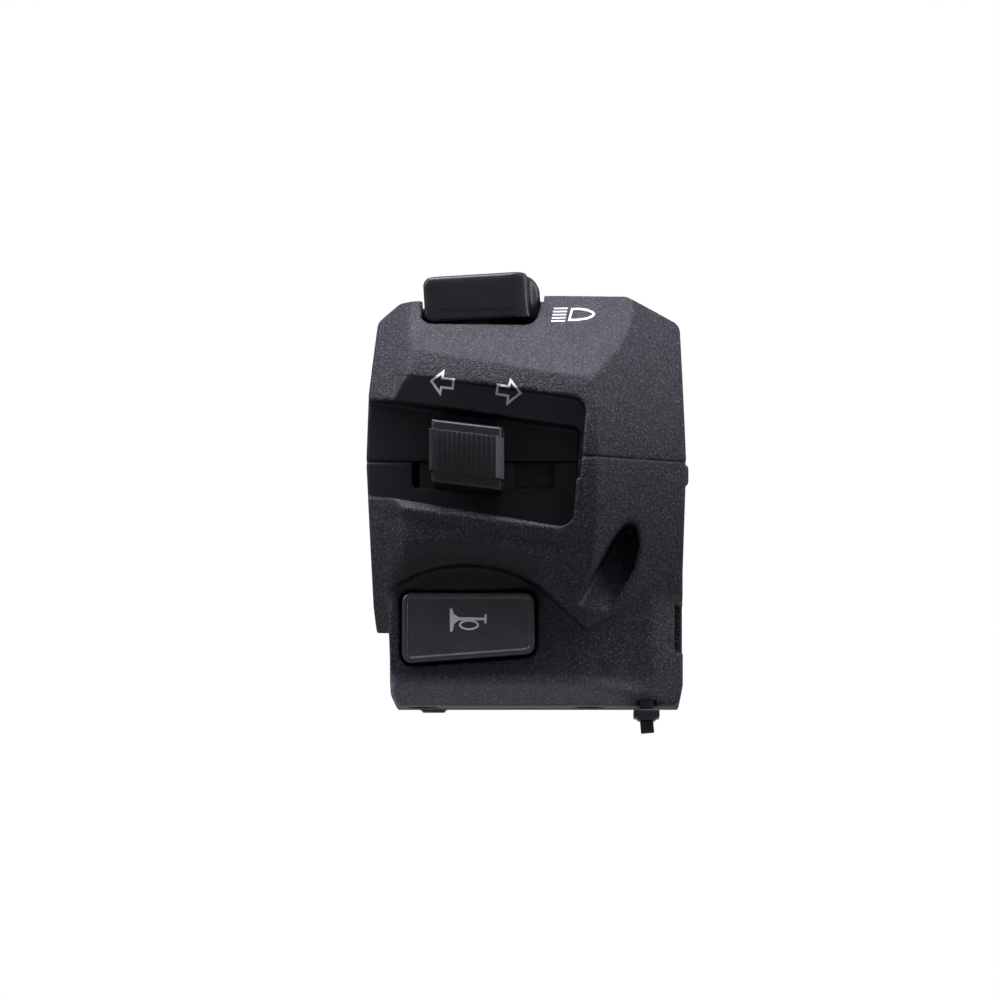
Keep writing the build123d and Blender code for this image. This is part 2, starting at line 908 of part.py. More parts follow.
def dip_base():
    """Carrier plate with two ears for the pin and a cradle for the seesaw's bead"""
    low = dip_base_top - dip_base_thickness
    base = block((-dip_base_left, dip_base_right), (-dip_base_front, -dip_base_rear), (low, dip_base_top))
    front_ear_rear = -dip_hub_front - dip_ear_gap
    rear_ear_front = -dip_hub_rear + dip_ear_gap
    ear_sides = (dip_x - dip_ear_radius, dip_x + dip_ear_radius)
    for y_front in (front_ear_rear - dip_ear_thickness, rear_ear_front):
        y_rear = y_front + dip_ear_thickness
        base += pin_y(dip_x, dip_pivot_z, dip_ear_radius, y_front, y_rear)
        base += block(ear_sides, (y_front, y_rear), (dip_base_top, dip_pivot_z))
    base -= pin_y(dip_x, dip_pivot_z, dip_pin_radius + dip_pin_play / 2, -dip_front, -dip_rear)
    middle = -(dip_hub_front + dip_hub_rear) / 2
    y_range = (middle - seesaw_width / 2, middle + seesaw_width / 2)
    bead_z = seesaw_z - seesaw_thickness
    base += block(
        (dip_x - seesaw_width / 2, dip_x + seesaw_width / 2),
        y_range,
        (dip_base_top, bead_z - seesaw_cradle_drop),
    )
    base -= pin_y(dip_x, bead_z, seesaw_bead_radius + seesaw_bead_play, *y_range)
    for x in dip_base_screw_xs:
        base -= pin_z(x, dip_base_screw_y, small_screw_radius + small_screw_play, low, dip_base_top)
    return base


def dip_plunger():
    """Round-nosed plunger in the rocker's stem"""
    middle = -(dip_hub_front + dip_hub_rear) / 2
    plunger = pin_z(dip_x, middle, plunger_radius, plunger_nose_z + plunger_radius, plunger_top)
    plunger += Pos(dip_x, middle, plunger_nose_z + plunger_radius) * Sphere(plunger_radius)
    return tilt_about(plunger, dip_x, dip_pivot_z, -dip_rest_tilt)


def dip_plunger_spring():
    """Spring between the stem's bore end and the plunger"""
    middle = -(dip_hub_front + dip_hub_rear) / 2
    radius = plunger_radius - plunger_spring_wire / 2
    spring = spring_solid(radius, plunger_spring_wire, plunger_spring_turns, plunger_bore_top - plunger_top)
    return tilt_about(Pos(dip_x, middle, plunger_top) * spring, dip_x, dip_pivot_z, -dip_rest_tilt)


def dip_seesaw_contact():
    """Shallow V of brass strip with the bead that it tips on, tipped as it rests"""
    middle = -(dip_hub_front + dip_hub_rear) / 2
    top_z = seesaw_z + seesaw_rise
    strip = profile([
        (dip_x - seesaw_half_length, top_z),
        (dip_x, seesaw_z),
        (dip_x + seesaw_half_length, top_z),
        (dip_x + seesaw_half_length, top_z - seesaw_thickness),
        (dip_x, seesaw_z - seesaw_thickness),
        (dip_x - seesaw_half_length, top_z - seesaw_thickness),
    ])
    y_range = (middle - seesaw_width / 2, middle + seesaw_width / 2)
    contact = front_prism(strip, *y_range)
    contact += pin_y(dip_x, seesaw_z - seesaw_thickness, seesaw_bead_radius, *y_range)
    return tilt_about(contact, dip_x, seesaw_z - seesaw_thickness, seesaw_rest_tilt)


def dip_terminals():
    """Fixed contacts under the two ends of the seesaw"""
    middle = -(dip_hub_front + dip_hub_rear) / 2
    y_range = (middle - terminal_width / 2, middle + terminal_width / 2)
    reach = seesaw_half_length - terminal_inset
    end = Vector(seesaw_half_length, seesaw_rise).rotate(Axis.Z, -seesaw_rest_tilt)
    pad_top = seesaw_z - seesaw_thickness + end.Y - terminal_gap
    terminals = []
    for side in (-1, 1):
        x = dip_x + side * reach
        pad = block((x - terminal_width / 2, x + terminal_width / 2), y_range, (dip_base_top, pad_top))
        terminals.append(pad)
    return terminals


def knob():
    """The ribbed knob, hollow for the stem, its top and bottom sloping with the recess"""
    rise = knob_half_width * tan(radians(knob_slope))
    section = profile([
        (-knob_rear, knob_rear_half_height),
        (-knob_shoulder, knob_shoulder_half_height),
        (-knob_front, knob_face_half_height),
        (-knob_front, -knob_face_half_height),
        (-knob_shoulder, -knob_shoulder_half_height),
        (-knob_rear, -knob_rear_half_height),
    ], [0, knob_edge_radius, knob_edge_radius, knob_edge_radius, knob_edge_radius, 0])
    start = Plane(origin=(-knob_half_width, 0, rise), x_dir=(0, 1, 0), z_dir=(1, 0, 0))
    length = 2 * Vector(knob_half_width, rise).length
    solid = extrude(start * section, amount=length, dir=(knob_half_width, 0, -rise))
    ends = plan_prism(profile([
        (-knob_half_width, -knob_rear),
        (-knob_half_width, knob_edge_radius - knob_front),
        (knob_edge_radius - knob_half_width, -knob_front),
        (knob_half_width - knob_end_chamfer, -knob_front),
        (knob_half_width, knob_end_chamfer - knob_front),
        (knob_half_width, -knob_rear),
    ]), -knob_rear_half_height - rise, knob_rear_half_height + rise)
    solid &= ends
    first = -knob_rib_pitch * (knob_rib_count - 1) / 2
    for index in range(knob_rib_count):
        x = first + index * knob_rib_pitch
        groove = profile([
            (x - knob_rib_depth, -knob_front),
            (x + knob_rib_depth, -knob_front),
            (x, knob_rib_depth - knob_front),
        ])
        middle = -x * tan(radians(knob_slope))
        solid -= plan_prism(groove, middle - knob_face_half_height, middle + knob_face_half_height)
    solid = Pos(carriage_x, 0, knob_z) * solid
    gap = knob_pocket_gap
    solid -= block(
        (carriage_x - stem_half_width - gap, carriage_x + stem_half_width + gap),
        (-knob_pocket_bottom, -knob_rear),
        (stem_bottom - gap, stem_top + gap),
    )
    return solid


def indicator_carriage():
    """Slider plate with its stem, bored at both ends for the springs"""
    plate = block(
        (carriage_x - carriage_left, carriage_x + carriage_right),
        (-carriage_front, -carriage_rear),
        (carriage_bottom, carriage_top),
    )
    stem = block(
        (carriage_x - stem_half_width, carriage_x + stem_half_width),
        (-stem_tip, -carriage_front),
        (stem_bottom, stem_top),
    )
    stem = fillet(stem.edges().filter_by(Axis.Y), stem_edge)
    stem_z = (stem_top + stem_bottom) / 2
    solid = plate + stem
    solid -= pin_y(carriage_x, stem_z, knob_spring_bore_radius, -stem_tip, -knob_spring_seat)
    solid -= pin_y(carriage_x, stem_z, detent_ball_radius + detent_play, -detent_bore_end, -carriage_rear)
    return solid


def along_y(solid, x, z, start_y, direction):
    """A solid built along Z, laid along Y from start_y: direction 1 points to the rear, -1 to the front"""
    return Pos(x, start_y, z) * Rot(-direction * 90, 0, 0) * solid


def knob_return_spring():
    """Spring between the stem and the knob's pocket"""
    length = knob_pocket_bottom - knob_spring_seat
    spring = spring_solid(knob_spring_radius, knob_spring_wire, knob_spring_turns, length)
    return along_y(spring, carriage_x, (stem_top + stem_bottom) / 2, -knob_pocket_bottom, 1)


def detent_ball():
    """Ball that drops into the channel's dimples"""
    return Pos(carriage_x, detent_ball_y, (stem_top + stem_bottom) / 2) * Sphere(detent_ball_radius)


def detent_spring():
    """Spring behind the ball"""
    radius = detent_ball_radius - detent_spring_wire
    reach = radius + detent_spring_wire / 2
    ball_front = detent_ball_y - sqrt(detent_ball_radius ** 2 - reach ** 2) - detent_spring_wire
    length = ball_front + detent_bore_end
    spring = spring_solid(radius, detent_spring_wire, detent_spring_turns, length)
    return along_y(spring, carriage_x, (stem_top + stem_bottom) / 2, -detent_bore_end, 1)


def indicator_base():
    """Channel in which the carriage slides, with the ball's groove and its three dimples"""
    rail_top = carriage_top + channel_gap
    rail_bottom = carriage_bottom - channel_gap
    z_range = (rail_bottom - channel_rail, rail_top + channel_rail)
    base = block((-channel_left, channel_right), (-channel_front, -channel_rear), z_range)
    base -= block((-overrun, overrun), (-overrun, -channel_floor), (rail_bottom, rail_top))
    for x in channel_screw_xs:
        base += block(
            (x - channel_ear_half_width, x + channel_ear_half_width),
            (-channel_floor, -channel_rear),
            (rail_bottom - channel_ear_drop - channel_rail, rail_bottom),
        )
        base -= pin_y(x, channel_screw_z, small_screw_radius + small_screw_play, -channel_floor, -channel_rear)
    stem_z = (stem_top + stem_bottom) / 2
    base -= block(
        (-channel_left, channel_right),
        (-channel_floor, groove_depth - channel_floor),
        (stem_z - groove_half_height, stem_z + groove_half_height),
    )
    for step in (-1, 0, 1):
        base -= Pos(carriage_x + step * indicator_travel, detent_ball_y, stem_z) * Sphere(dimple_radius)
    return base


def indicator_contacts():
    """Left, right and common track on the channel's floor"""
    y_range = (-channel_floor - track_thickness, -channel_floor)
    upper = (track_upper_z - track_height / 2, track_upper_z + track_height / 2)
    lower = (track_lower_z - track_height / 2, track_lower_z + track_height / 2)
    left_end = carriage_x - wiper_half_length - track_end_gap
    right_start = carriage_x + wiper_half_length + track_end_gap
    return [
        block((-channel_left, left_end), y_range, upper),
        block((right_start, right_start + track_length), y_range, upper),
        block((-channel_left, right_start + track_length), y_range, lower),
    ]


def indicator_wiper():
    """Contact plate on the back of the carriage, holed for the ball"""
    stem_z = (stem_top + stem_bottom) / 2
    plate = block(
        (carriage_x - wiper_half_length, carriage_x + wiper_half_length),
        (-carriage_rear, wiper_thickness - carriage_rear),
        (stem_z - wiper_half_height, stem_z + wiper_half_height),
    )
    return plate - pin_y(carriage_x, stem_z, wiper_hole_radius, -carriage_rear, wiper_thickness - carriage_rear)


def horn_button():
    """Rectangular button with a raised rim, a flange behind the wall and a plunger"""
    button = front_prism(horn_outline(), -horn_front, -horn_flange_front)
    button = fillet(button.faces().sort_by(Axis.Y)[0].edges(), horn_edge_radius)
    button -= front_prism(horn_outline(-horn_rim_width), -horn_front, horn_rim_height - horn_front)
    button += front_prism(horn_outline(horn_flange_proud), -horn_flange_front, -horn_flange_rear)
    button += pin_y(horn_x, horn_z, horn_plunger_radius, -horn_flange_rear, -horn_plunger_rear)
    button += pin_y(horn_x, horn_z, horn_nose_radius, -horn_plunger_rear, -horn_nose_rear)
    return button


def horn_contact_plate():
    """Brass washer on the plunger's nose"""
    rear_y = washer_thickness - horn_plunger_rear
    washer = pin_y(horn_x, horn_z, washer_radius, -horn_plunger_rear, rear_y)
    return washer - pin_y(horn_x, horn_z, horn_nose_radius + washer_play, -horn_plunger_rear, rear_y)


def horn_return_spring():
    """Spring from the cup's floor to the washer"""
    start = washer_thickness - horn_plunger_rear
    end = -horn_cup_rear - horn_cup_floor
    spring = spring_solid(horn_spring_radius, horn_spring_wire, horn_spring_turns, end - start)
    return along_y(spring, horn_x, horn_z, start, 1)


def horn_base():
    """Insulating plate with the cup that holds the spring"""
    base = block(
        (-horn_base_left, -horn_base_right),
        (-horn_base_front, -horn_base_rear),
        (horn_base_bottom, horn_base_top),
    )
    base += pin_y(horn_x, horn_z, horn_cup_radius, -horn_base_front, -horn_cup_rear)
    base -= pin_y(horn_x, horn_z, horn_cup_bore, -horn_base_front, -horn_cup_rear - horn_cup_floor)
    for z in horn_post_zs:
        base -= pin_y(horn_post_x, z, small_screw_radius + small_screw_play, -horn_base_front, -horn_base_rear)
    return base


def horn_terminals():
    """Two fixed contacts, above and below the cup"""
    front_y = washer_thickness - horn_plunger_rear + horn_travel + horn_terminal_gap
    x_range = (horn_x - horn_terminal_half_width, horn_x + horn_terminal_half_width)
    terminals = []
    for side in (-1, 1):
        inner = horn_z + side * horn_terminal_inner
        outer = inner + side * horn_terminal_length
        terminals.append(block(x_range, (front_y, -horn_base_front), (inner, outer)))
    return terminals


def dip_base_screws():
    """Screws that hold the dip carrier up to its bosses"""
    low = dip_base_top - dip_base_thickness
    return [Pos(x, dip_base_screw_y, low) * small_screw() for x in dip_base_screw_xs]


def indicator_base_screws():
    """Screws that hold the channel to its posts"""
    return [along_y(small_screw(), x, channel_screw_z, -channel_floor, 1) for x in channel_screw_xs]


def horn_base_screws():
    """Screws that hold the horn base to its posts, from behind"""
    return [along_y(small_screw(), horn_post_x, z, -horn_base_rear, -1) for z in horn_post_zs]


def cable_tie():
    """Tie looped through the two slots, with its head underneath and its tail hanging from it"""
    radii = tie_loop_radius
    loop = profile([
        (-tie_front, tie_loop_top),
        (-tie_rear, tie_loop_top),
        (-tie_rear, tie_loop_bottom),
        (-tie_front, tie_loop_bottom),
    ], radii)
    loop -= offset(loop, amount=-tie_thickness)
    tie = side_prism(loop, tie_x - tie_width / 2, tie_x + tie_width / 2)
    head = block(
        (tie_x - tie_head_width / 2, tie_x + tie_head_width / 2),
        (-tie_head_front, -tie_head_rear),
        (tie_head_bottom, tie_head_top),
    )
    head = chamfer(head.edges().filter_by(Axis.Y).group_by(Axis.Z)[0], tie_head_corner)
    tail = block(
        (tie_x - tie_width / 2, tie_x + tie_width / 2),
        (-tie_front, tie_thickness - tie_front),
        (tie_tail_bottom, tie_head_bottom),
    )
    return tie + head + tail


def gather(shape):
    """One compound from a solid or a list of solids"""
    solids = []
    items = shape if isinstance(shape, list) else [shape]
    for item in items:
        solids.extend(item.solids())
    return Compound(children=solids)


def build():
    """Every piece by the name of its node"""
    housing = cut_all(outer_form() - cavity_form(), housing_cutters())
    return {
        "upper_shell": upper_shell(housing),
        "lower_shell": lower_shell(housing),
        "clamp_screws": clamp_screws(),
        "dip_rocker": dip_rocker(),
        "dip_pivot_pin": dip_pivot_pin(),
        "dip_base": dip_base(),
        "dip_base_screws": dip_base_screws(),
        "dip_plunger": dip_plunger(),
        "dip_plunger_spring": dip_plunger_spring(),
        "dip_seesaw_contact": dip_seesaw_contact(),
        "dip_terminals": dip_terminals(),
        "indicator_knob": knob(),
        "indicator_carriage": indicator_carriage(),
        "knob_return_spring": knob_return_spring(),
        "detent_ball": detent_ball(),
        "detent_spring": detent_spring(),
        "indicator_base": indicator_base(),
        "indicator_base_screws": indicator_base_screws(),
        "indicator_contacts": indicator_contacts(),
        "indicator_wiper": indicator_wiper(),
        "horn_button": horn_button(),
        "horn_contact_plate": horn_contact_plate(),
        "horn_return_spring": horn_return_spring(),
        "horn_base": horn_base(),
        "horn_base_screws": horn_base_screws(),
        "horn_terminals": horn_terminals(),
        "cable_tie": cable_tie(),
    }


os.makedirs("parts", exist_ok=True)
for node, shape in build().items():
    export_step(gather(shape), "parts/" + node + ".step")
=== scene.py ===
import json
import math

import bmesh
import bpy
import numpy as np
from mathutils import Matrix, Vector
from mathutils.bvhtree import BVHTree
from mathutils.geometry import intersect_point_line


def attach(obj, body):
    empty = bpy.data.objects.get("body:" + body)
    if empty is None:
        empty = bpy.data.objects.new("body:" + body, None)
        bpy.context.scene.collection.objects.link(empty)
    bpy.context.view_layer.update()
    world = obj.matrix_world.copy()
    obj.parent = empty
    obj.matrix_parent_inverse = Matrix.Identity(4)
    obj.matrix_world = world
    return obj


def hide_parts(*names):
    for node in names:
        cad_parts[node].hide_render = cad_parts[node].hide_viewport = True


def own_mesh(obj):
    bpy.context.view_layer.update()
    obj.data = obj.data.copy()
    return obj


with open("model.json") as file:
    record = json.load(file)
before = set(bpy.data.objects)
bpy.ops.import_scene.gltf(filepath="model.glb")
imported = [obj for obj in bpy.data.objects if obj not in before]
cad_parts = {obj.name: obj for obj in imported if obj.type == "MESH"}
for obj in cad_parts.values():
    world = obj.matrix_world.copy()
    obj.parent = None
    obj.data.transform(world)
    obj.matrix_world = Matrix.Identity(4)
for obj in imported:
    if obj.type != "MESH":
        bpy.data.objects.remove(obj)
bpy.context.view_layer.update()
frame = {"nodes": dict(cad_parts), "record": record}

MM = 0.001
nodes_by_name = frame["nodes"]
behaviour = frame["record"]["behaviour"]
body_of_node = {node: body for body, nodes in behaviour["bodies"].items() for node in nodes}
slot_of_node = {row["node"]: row["material_slot"] for row in frame["record"]["subparts"]}

# The photo is taken from slightly below. The symbols are laid on, and the camera looks, this way.
CAMERA_TILT = 6.0
SIGHT = Vector((0.0, math.cos(math.radians(CAMERA_TILT)), math.sin(math.radians(CAMERA_TILT))))


# Shader helpers, with texture sizes in metres

class Nodes:
    """A node tree, with short calls to add and link nodes"""

    def __init__(self, tree):
        self.tree = tree

    def add(self, kind, **settings):
        node = self.tree.nodes.new(kind)
        for key, value in settings.items():
            setattr(node, key, value)
        return node

    def link(self, output, target):
        self.tree.links.new(output, target)

    def feed(self, socket, value):
        """Links an output to the socket, or sets a value on it"""
        if isinstance(value, bpy.types.NodeSocket):
            self.link(value, socket)
        else:
            socket.default_value = value

    def math(self, operation, *values):
        node = self.add("ShaderNodeMath", operation=operation)
        for socket, value in zip(node.inputs, values):
            self.feed(socket, value)
        return node.outputs[0]

    def times(self, first, second):
        return self.math("MULTIPLY", first, second)

    def plus(self, first, second):
        return self.math("ADD", first, second)

    def spread(self, value, low, high, to_low=0.0, to_high=1.0):
        """Value carried from one range to another"""
        node = self.add("ShaderNodeMapRange")
        for socket, number in zip(node.inputs, (value, low, high, to_low, to_high)):
            self.feed(socket, number)
        return node.outputs["Result"]


class Shader(Nodes):
    """A material with its textures and its surface"""

    def __init__(self, name):
        self.material = bpy.data.materials.new(name)
        self.material.use_nodes = True
        super().__init__(self.material.node_tree)
        self.surface = self.tree.nodes["Principled BSDF"]
        self.coordinates = self.add("ShaderNodeTexCoord").outputs["Object"]

    def attribute(self, name):
        """A value that the mesh carries at each point, or 0 where it has none of that name"""
        return self.add("ShaderNodeAttribute", attribute_name=name).outputs["Fac"]

    def noise(self, size, detail=3.0, roughness=0.55, distortion=0.0, stretch=(1, 1, 1)):
        """Noise whose features are about size metres wide"""
        mapping = self.add("ShaderNodeMapping")
        mapping.inputs["Scale"].default_value = stretch
        self.link(self.coordinates, mapping.inputs["Vector"])
        node = self.add("ShaderNodeTexNoise")
        node.inputs["Scale"].default_value = 1 / size
        node.inputs["Detail"].default_value = detail
        node.inputs["Roughness"].default_value = roughness
        node.inputs["Distortion"].default_value = distortion
        self.link(mapping.outputs["Vector"], node.inputs["Vector"])
        return node.outputs["Fac"]

    def patches(self, size, low, high, **texture):
        """0 where the noise is under low, 1 where it is over high"""
        return self.spread(self.noise(size, **texture), low, high)

    def cells(self, size):
        """Rounded pebbles about size metres wide"""
        node = self.add("ShaderNodeTexVoronoi", feature="SMOOTH_F1")
        node.inputs["Scale"].default_value = 1 / size
        node.inputs["Smoothness"].default_value = 0.6
        node.inputs["Randomness"].default_value = 1.0
        self.link(self.coordinates, node.inputs["Vector"])
        return node.outputs["Distance"]

    def blend(self, factor, first, second):
        """A colour between two"""
        node = self.add("ShaderNodeMix", data_type="RGBA")
        self.feed(node.inputs["Factor"], factor)
        self.feed(node.inputs["A"], first)
        self.feed(node.inputs["B"], second)
        return node.outputs["Result"]

    def cover(self, colour, mask, share, over):
        """The colour with another over it, at that share where the mask is 1"""
        return self.blend(self.times(mask, share), colour, over)

    def bump(self, height, distance):
        node = self.add("ShaderNodeBump")
        node.inputs["Distance"].default_value = distance
        node.inputs["Strength"].default_value = 1.0
        self.link(height, node.inputs["Height"])
        self.link(node.outputs["Normal"], self.surface.inputs["Normal"])

    def finish(self, colour, roughness, specular=0.5, tint=(1.0, 1.0, 1.0), metallic=0.0):
        """Links what varies over the surface, and sets what is the same all over on its socket"""
        self.link(colour, self.surface.inputs["Base Color"])
        self.link(roughness, self.surface.inputs["Roughness"])
        self.surface.inputs["Specular IOR Level"].default_value = specular
        self.surface.inputs["Specular Tint"].default_value = (*tint, 1.0)
        self.surface.inputs["Metallic"].default_value = metallic
        return self.material


def grey(level, tint=(1.0, 1.0, 1.0)):
    return (level * tint[0], level * tint[1], level * tint[2], 1.0)


# Materials

PEBBLE_SIZE = 0.00042
FINE_GRAIN_SIZE = 0.0003
# The grain fades over this many millimetres to either side of a smooth zone's outline
ZONE_FADE = 0.15
COOL_GLOSS = (0.88, 0.9, 1.0)
STEEL = (0.56, 0.56, 0.57, 1.0)
BRASS, DULL_BRASS = (0.74, 0.53, 0.24, 1.0), (0.42, 0.28, 0.12, 1.0)


def grained_shell():
    """Charcoal plastic with a fine eroded grain. The mesh says where it is sleek and where it takes
    painted light and shade.
    """
    s = Shader("grained_shell")
    smooth = s.spread(s.attribute("smooth_zone"), -ZONE_FADE, ZONE_FADE)
    painted_light_and_shade = s.attribute("painted_light_and_shade")
    pebbles = s.math("SUBTRACT", 1.0, s.cells(PEBBLE_SIZE))
    fine = s.noise(FINE_GRAIN_SIZE, detail=2.0, roughness=0.7)
    tops = s.spread(fine, 0.52, 0.64)
    pits = s.math("SUBTRACT", 1.0, s.spread(pebbles, 0.42, 0.72))
    scuffs = s.patches(0.0016, 0.66, 0.74, detail=8.0, roughness=0.8, stretch=(0.35, 1.0, 1.0))

    clouds = s.patches(0.014, 0.3, 0.7, detail=5.0)
    colour = s.blend(clouds, grey(0.021, (0.91, 0.91, 1.46)), grey(0.027, (0.92, 0.92, 1.44)))
    # Grain tops lighter and pits darker: partly the grain's own speckle, partly painted highlight
    # and painted shade for the bump's shading
    colour = s.cover(colour, tops, 0.85, grey(0.13, (0.93, 0.93, 1.4)))
    colour = s.cover(colour, pits, 0.95, grey(0.004, (0.93, 0.93, 1.35)))
    colour = s.cover(colour, scuffs, 0.2, grey(0.07, (0.98, 0.98, 1.04)))
    # Above 0 the mesh value paints light onto the bottom bevel, as if lit from below; below 0 it
    # paints shade into the hollow under the brow
    wear_and_painted_light = s.blend(tops, grey(0.14, (0.95, 0.95, 1.2)), grey(0.34, (0.95, 0.95, 1.2)))
    painted_shade_colour = s.blend(tops, grey(0.002, (0.93, 0.93, 1.3)), grey(0.014, (0.93, 0.93, 1.3)))
    colour = s.blend(s.spread(painted_light_and_shade, 0.0, 1.0, 0.0, 0.85), colour, wear_and_painted_light)
    colour = s.blend(s.spread(painted_light_and_shade, 0.0, -1.0, 0.0, 0.9), colour, painted_shade_colour)
    specks = s.patches(0.00035, 0.4, 0.66, detail=3.0, roughness=0.7)
    sleek = s.blend(specks, grey(0.008, (0.9, 0.94, 1.4)), grey(0.015, (0.92, 0.94, 1.36)))
    colour = s.blend(smooth, colour, sleek)

    grain = s.plus(s.times(pebbles, 0.65), s.times(fine, 1.1))
    grain = s.plus(grain, s.times(s.noise(0.0009, detail=2.0), 0.2))
    sleek_grain = s.times(s.noise(0.00016, detail=2.0), 0.18)
    rough_share = s.math("SUBTRACT", 1.0, smooth)
    s.bump(s.plus(s.times(grain, rough_share), s.times(sleek_grain, smooth)), 0.0001)

    roughness = s.spread(s.noise(0.0035, detail=4.0), 0.3, 0.7, 0.5, 0.6)
    return s.finish(colour, s.plus(roughness, s.times(scuffs, -0.08)), 0.36, COOL_GLOSS)


def satin_plastic(name, level, roughness, relief=0.00004):
    """Smooth moulded plastic with faint flow marks and fine handling scratches"""
    s = Shader(name)
    flow = s.noise(0.006, detail=4.0, distortion=0.6, stretch=(1.0, 0.5, 1.6))
    scratch = s.noise(0.00035, detail=6.0, roughness=0.7, stretch=(0.06, 1.0, 1.0))
    speckle = s.patches(0.0003, 0.48, 0.7, detail=3.0, roughness=0.7)
    dust = s.patches(0.0005, 0.72, 0.8, detail=3.0)

    colour = s.blend(s.spread(flow, 0.35, 0.7),
                     grey(level, (0.95, 0.94, 1.22)), grey(level * 1.35, (0.96, 0.95, 1.2)))
    colour = s.cover(colour, speckle, 0.4, grey(level * 2.6, (0.98, 0.98, 1.04)))
    colour = s.cover(colour, dust, 0.12, grey(0.16))

    s.bump(s.plus(s.noise(0.0005, detail=3.0), s.times(scratch, 0.35)), relief)
    marks = s.plus(s.times(flow, 0.5), s.times(scratch, 0.5))
    return s.finish(colour, s.spread(marks, 0.3, 0.7, roughness - 0.05, roughness + 0.08), 0.4,
                    COOL_GLOSS)


def gloss_plastic():
    """Polished black with a faint orange peel, smears and dust"""
    s = Shader("gloss_button")
    smear = s.patches(0.006, 0.38, 0.72, detail=5.0, distortion=1.4)
    speckle = s.patches(0.0003, 0.5, 0.7, detail=3.0, roughness=0.7)
    dust = s.patches(0.0004, 0.68, 0.76, detail=2.0)

    colour = s.blend(smear, grey(0.04, (1.0, 0.97, 1.24)), grey(0.055, (1.02, 0.98, 1.2)))
    colour = s.cover(colour, speckle, 0.45, grey(0.07, (1.02, 0.98, 1.08)))
    colour = s.cover(colour, dust, 0.2, grey(0.14))

    s.bump(s.noise(0.0022, detail=2.0), 0.00003)
    return s.finish(colour, s.spread(smear, 0.0, 1.0, 0.1, 0.17), 0.5, (0.9, 0.92, 1.0))


def brushed_metal(name, colour, dark, roughness):
    """Turned or rolled metal with fine drawing lines and dull patches"""
    s = Shader(name)
    lines = s.noise(0.00025, detail=5.0, roughness=0.7, stretch=(1.0, 1.0, 0.05))
    dull = s.patches(0.003, 0.45, 0.68, detail=5.0)
    s.bump(lines, 0.00001)
    streaks = s.spread(lines, 0.3, 0.7, roughness - 0.06, roughness + 0.08)
    return s.finish(s.blend(s.times(dull, 0.5), colour, dark), s.plus(streaks, s.times(dull, 0.12)),
                    metallic=1.0)


def inner_moulding():
    """Dark nylon of the switch insides, with sink marks"""
    s = Shader("inner_moulding")
    clouds = s.patches(0.004, 0.3, 0.7, detail=4.0)
    colour = s.blend(clouds, grey(0.004, (0.96, 0.97, 1.1)), grey(0.008, (0.97, 0.98, 1.08)))
    s.bump(s.noise(0.0004), 0.00002)
    return s.finish(colour, s.spread(s.noise(0.001), 0.3, 0.7, 0.42, 0.55))


def print_ink(name, level):
    """Pale printed ink, slightly uneven, with worn pinholes"""
    s = Shader(name)
    holes = s.patches(0.00028, 0.58, 0.68, detail=4.0, roughness=0.7)
    uneven = s.patches(0.002, 0.3, 0.7, detail=3.0)
    colour = s.blend(uneven, grey(level, (0.92, 0.92, 1.1)), grey(level * 1.2, (0.93, 0.93, 1.08)))
    s.bump(s.cells(PEBBLE_SIZE), 0.00002)
    return s.finish(s.cover(colour, holes, 0.35, grey(level * 0.4)),
                    s.spread(uneven, 0.0, 1.0, 0.5, 0.65))


MATERIALS = {
    "grained_shell": grained_shell(),
    "satin_button": satin_plastic("satin_button", 0.015, 0.29),
    "gloss_button": gloss_plastic(),
    "nylon_tie": satin_plastic("nylon_tie", 0.012, 0.4, 0.00003),
    "inner_moulding": inner_moulding(),
    "brass_contact": brushed_metal("brass_contact", BRASS, DULL_BRASS, 0.3),
    "spring_steel": brushed_metal("spring_steel", STEEL, grey(0.3), 0.3),
    "print_ink": print_ink("print_ink", 0.85),
}
horn_ink = print_ink("horn_ink", 0.7)


# Mesh helpers. From here on, lengths are in millimetres and objects in metres.

def new_object(name, mesh, slot, body):
    obj = bpy.data.objects.new(name, mesh)
    bpy.context.scene.collection.objects.link(obj)
    mesh.materials.clear()
    mesh.materials.append(MATERIALS[slot])
    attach(obj, body)
    return obj


def evaluated(obj):
    """The mesh of obj with its modifiers applied"""
    graph = bpy.context.evaluated_depsgraph_get()
    return bpy.data.meshes.new_from_object(obj.evaluated_get(graph))


def apply_modifiers(work):
    work_mesh = evaluated(work)
    work.modifiers.clear()
    work.data = work_mesh


def distance_to(stroke, x, z):
    """How far a point lies from a broken line"""
    nearest = math.inf
    for (x1, z1), (x2, z2) in zip(stroke, stroke[1:]):
        share = intersect_point_line((x, z, 0), (x1, z1, 0), (x2, z2, 0))[1]
        share = min(max(share, 0.0), 1.0)
        gap = math.hypot(x - x1 - share * (x2 - x1), z - z1 - share * (z2 - z1))
        nearest = min(nearest, gap)
    return nearest


def inside_by(polygon, x, z):
    """How far a point lies inside an outline, negative outside"""
    closed = polygon + polygon[:1]
    inside = False
    for (x1, z1), (x2, z2) in zip(closed, closed[1:]):
        if (z1 > z) != (z2 > z) and x < (x2 - x1) * (z - z1) / (z2 - z1) + x1:
            inside = not inside
    nearest = distance_to(closed, x, z)
    return nearest if inside else -nearest


def step(value, low, high):
    """0 below low, 1 above high, smooth between them"""
    share = np.clip((value - low) / (high - low), 0.0, 1.0)
    return share * share * (3 - 2 * share)


def plateau(value, rise, top, end, fall):
    """1 from top to end, and 0 before rise and after fall"""
    return step(value, rise, top) * (1 - step(value, end, fall))


def height_on(line, x):
    """The height of a broken line at each x"""
    return np.interp(x, [point[0] for point in line], [point[1] for point in line])


def point_values(mesh, name):
    """The points or normals of a mesh, one row for each"""
    values = np.empty(len(mesh.vertices) * 3)
    mesh.vertices.foreach_get(name, values)
    return values.reshape(-1, 3)


# Nothing behind this plane is worn round, nor lifted by painted light
WEAR_AND_PAINTED_LIGHT_REAR = -14.0
# Over 1, so that the wear is full for some way beside a line
WEAR_GAIN = 1.6


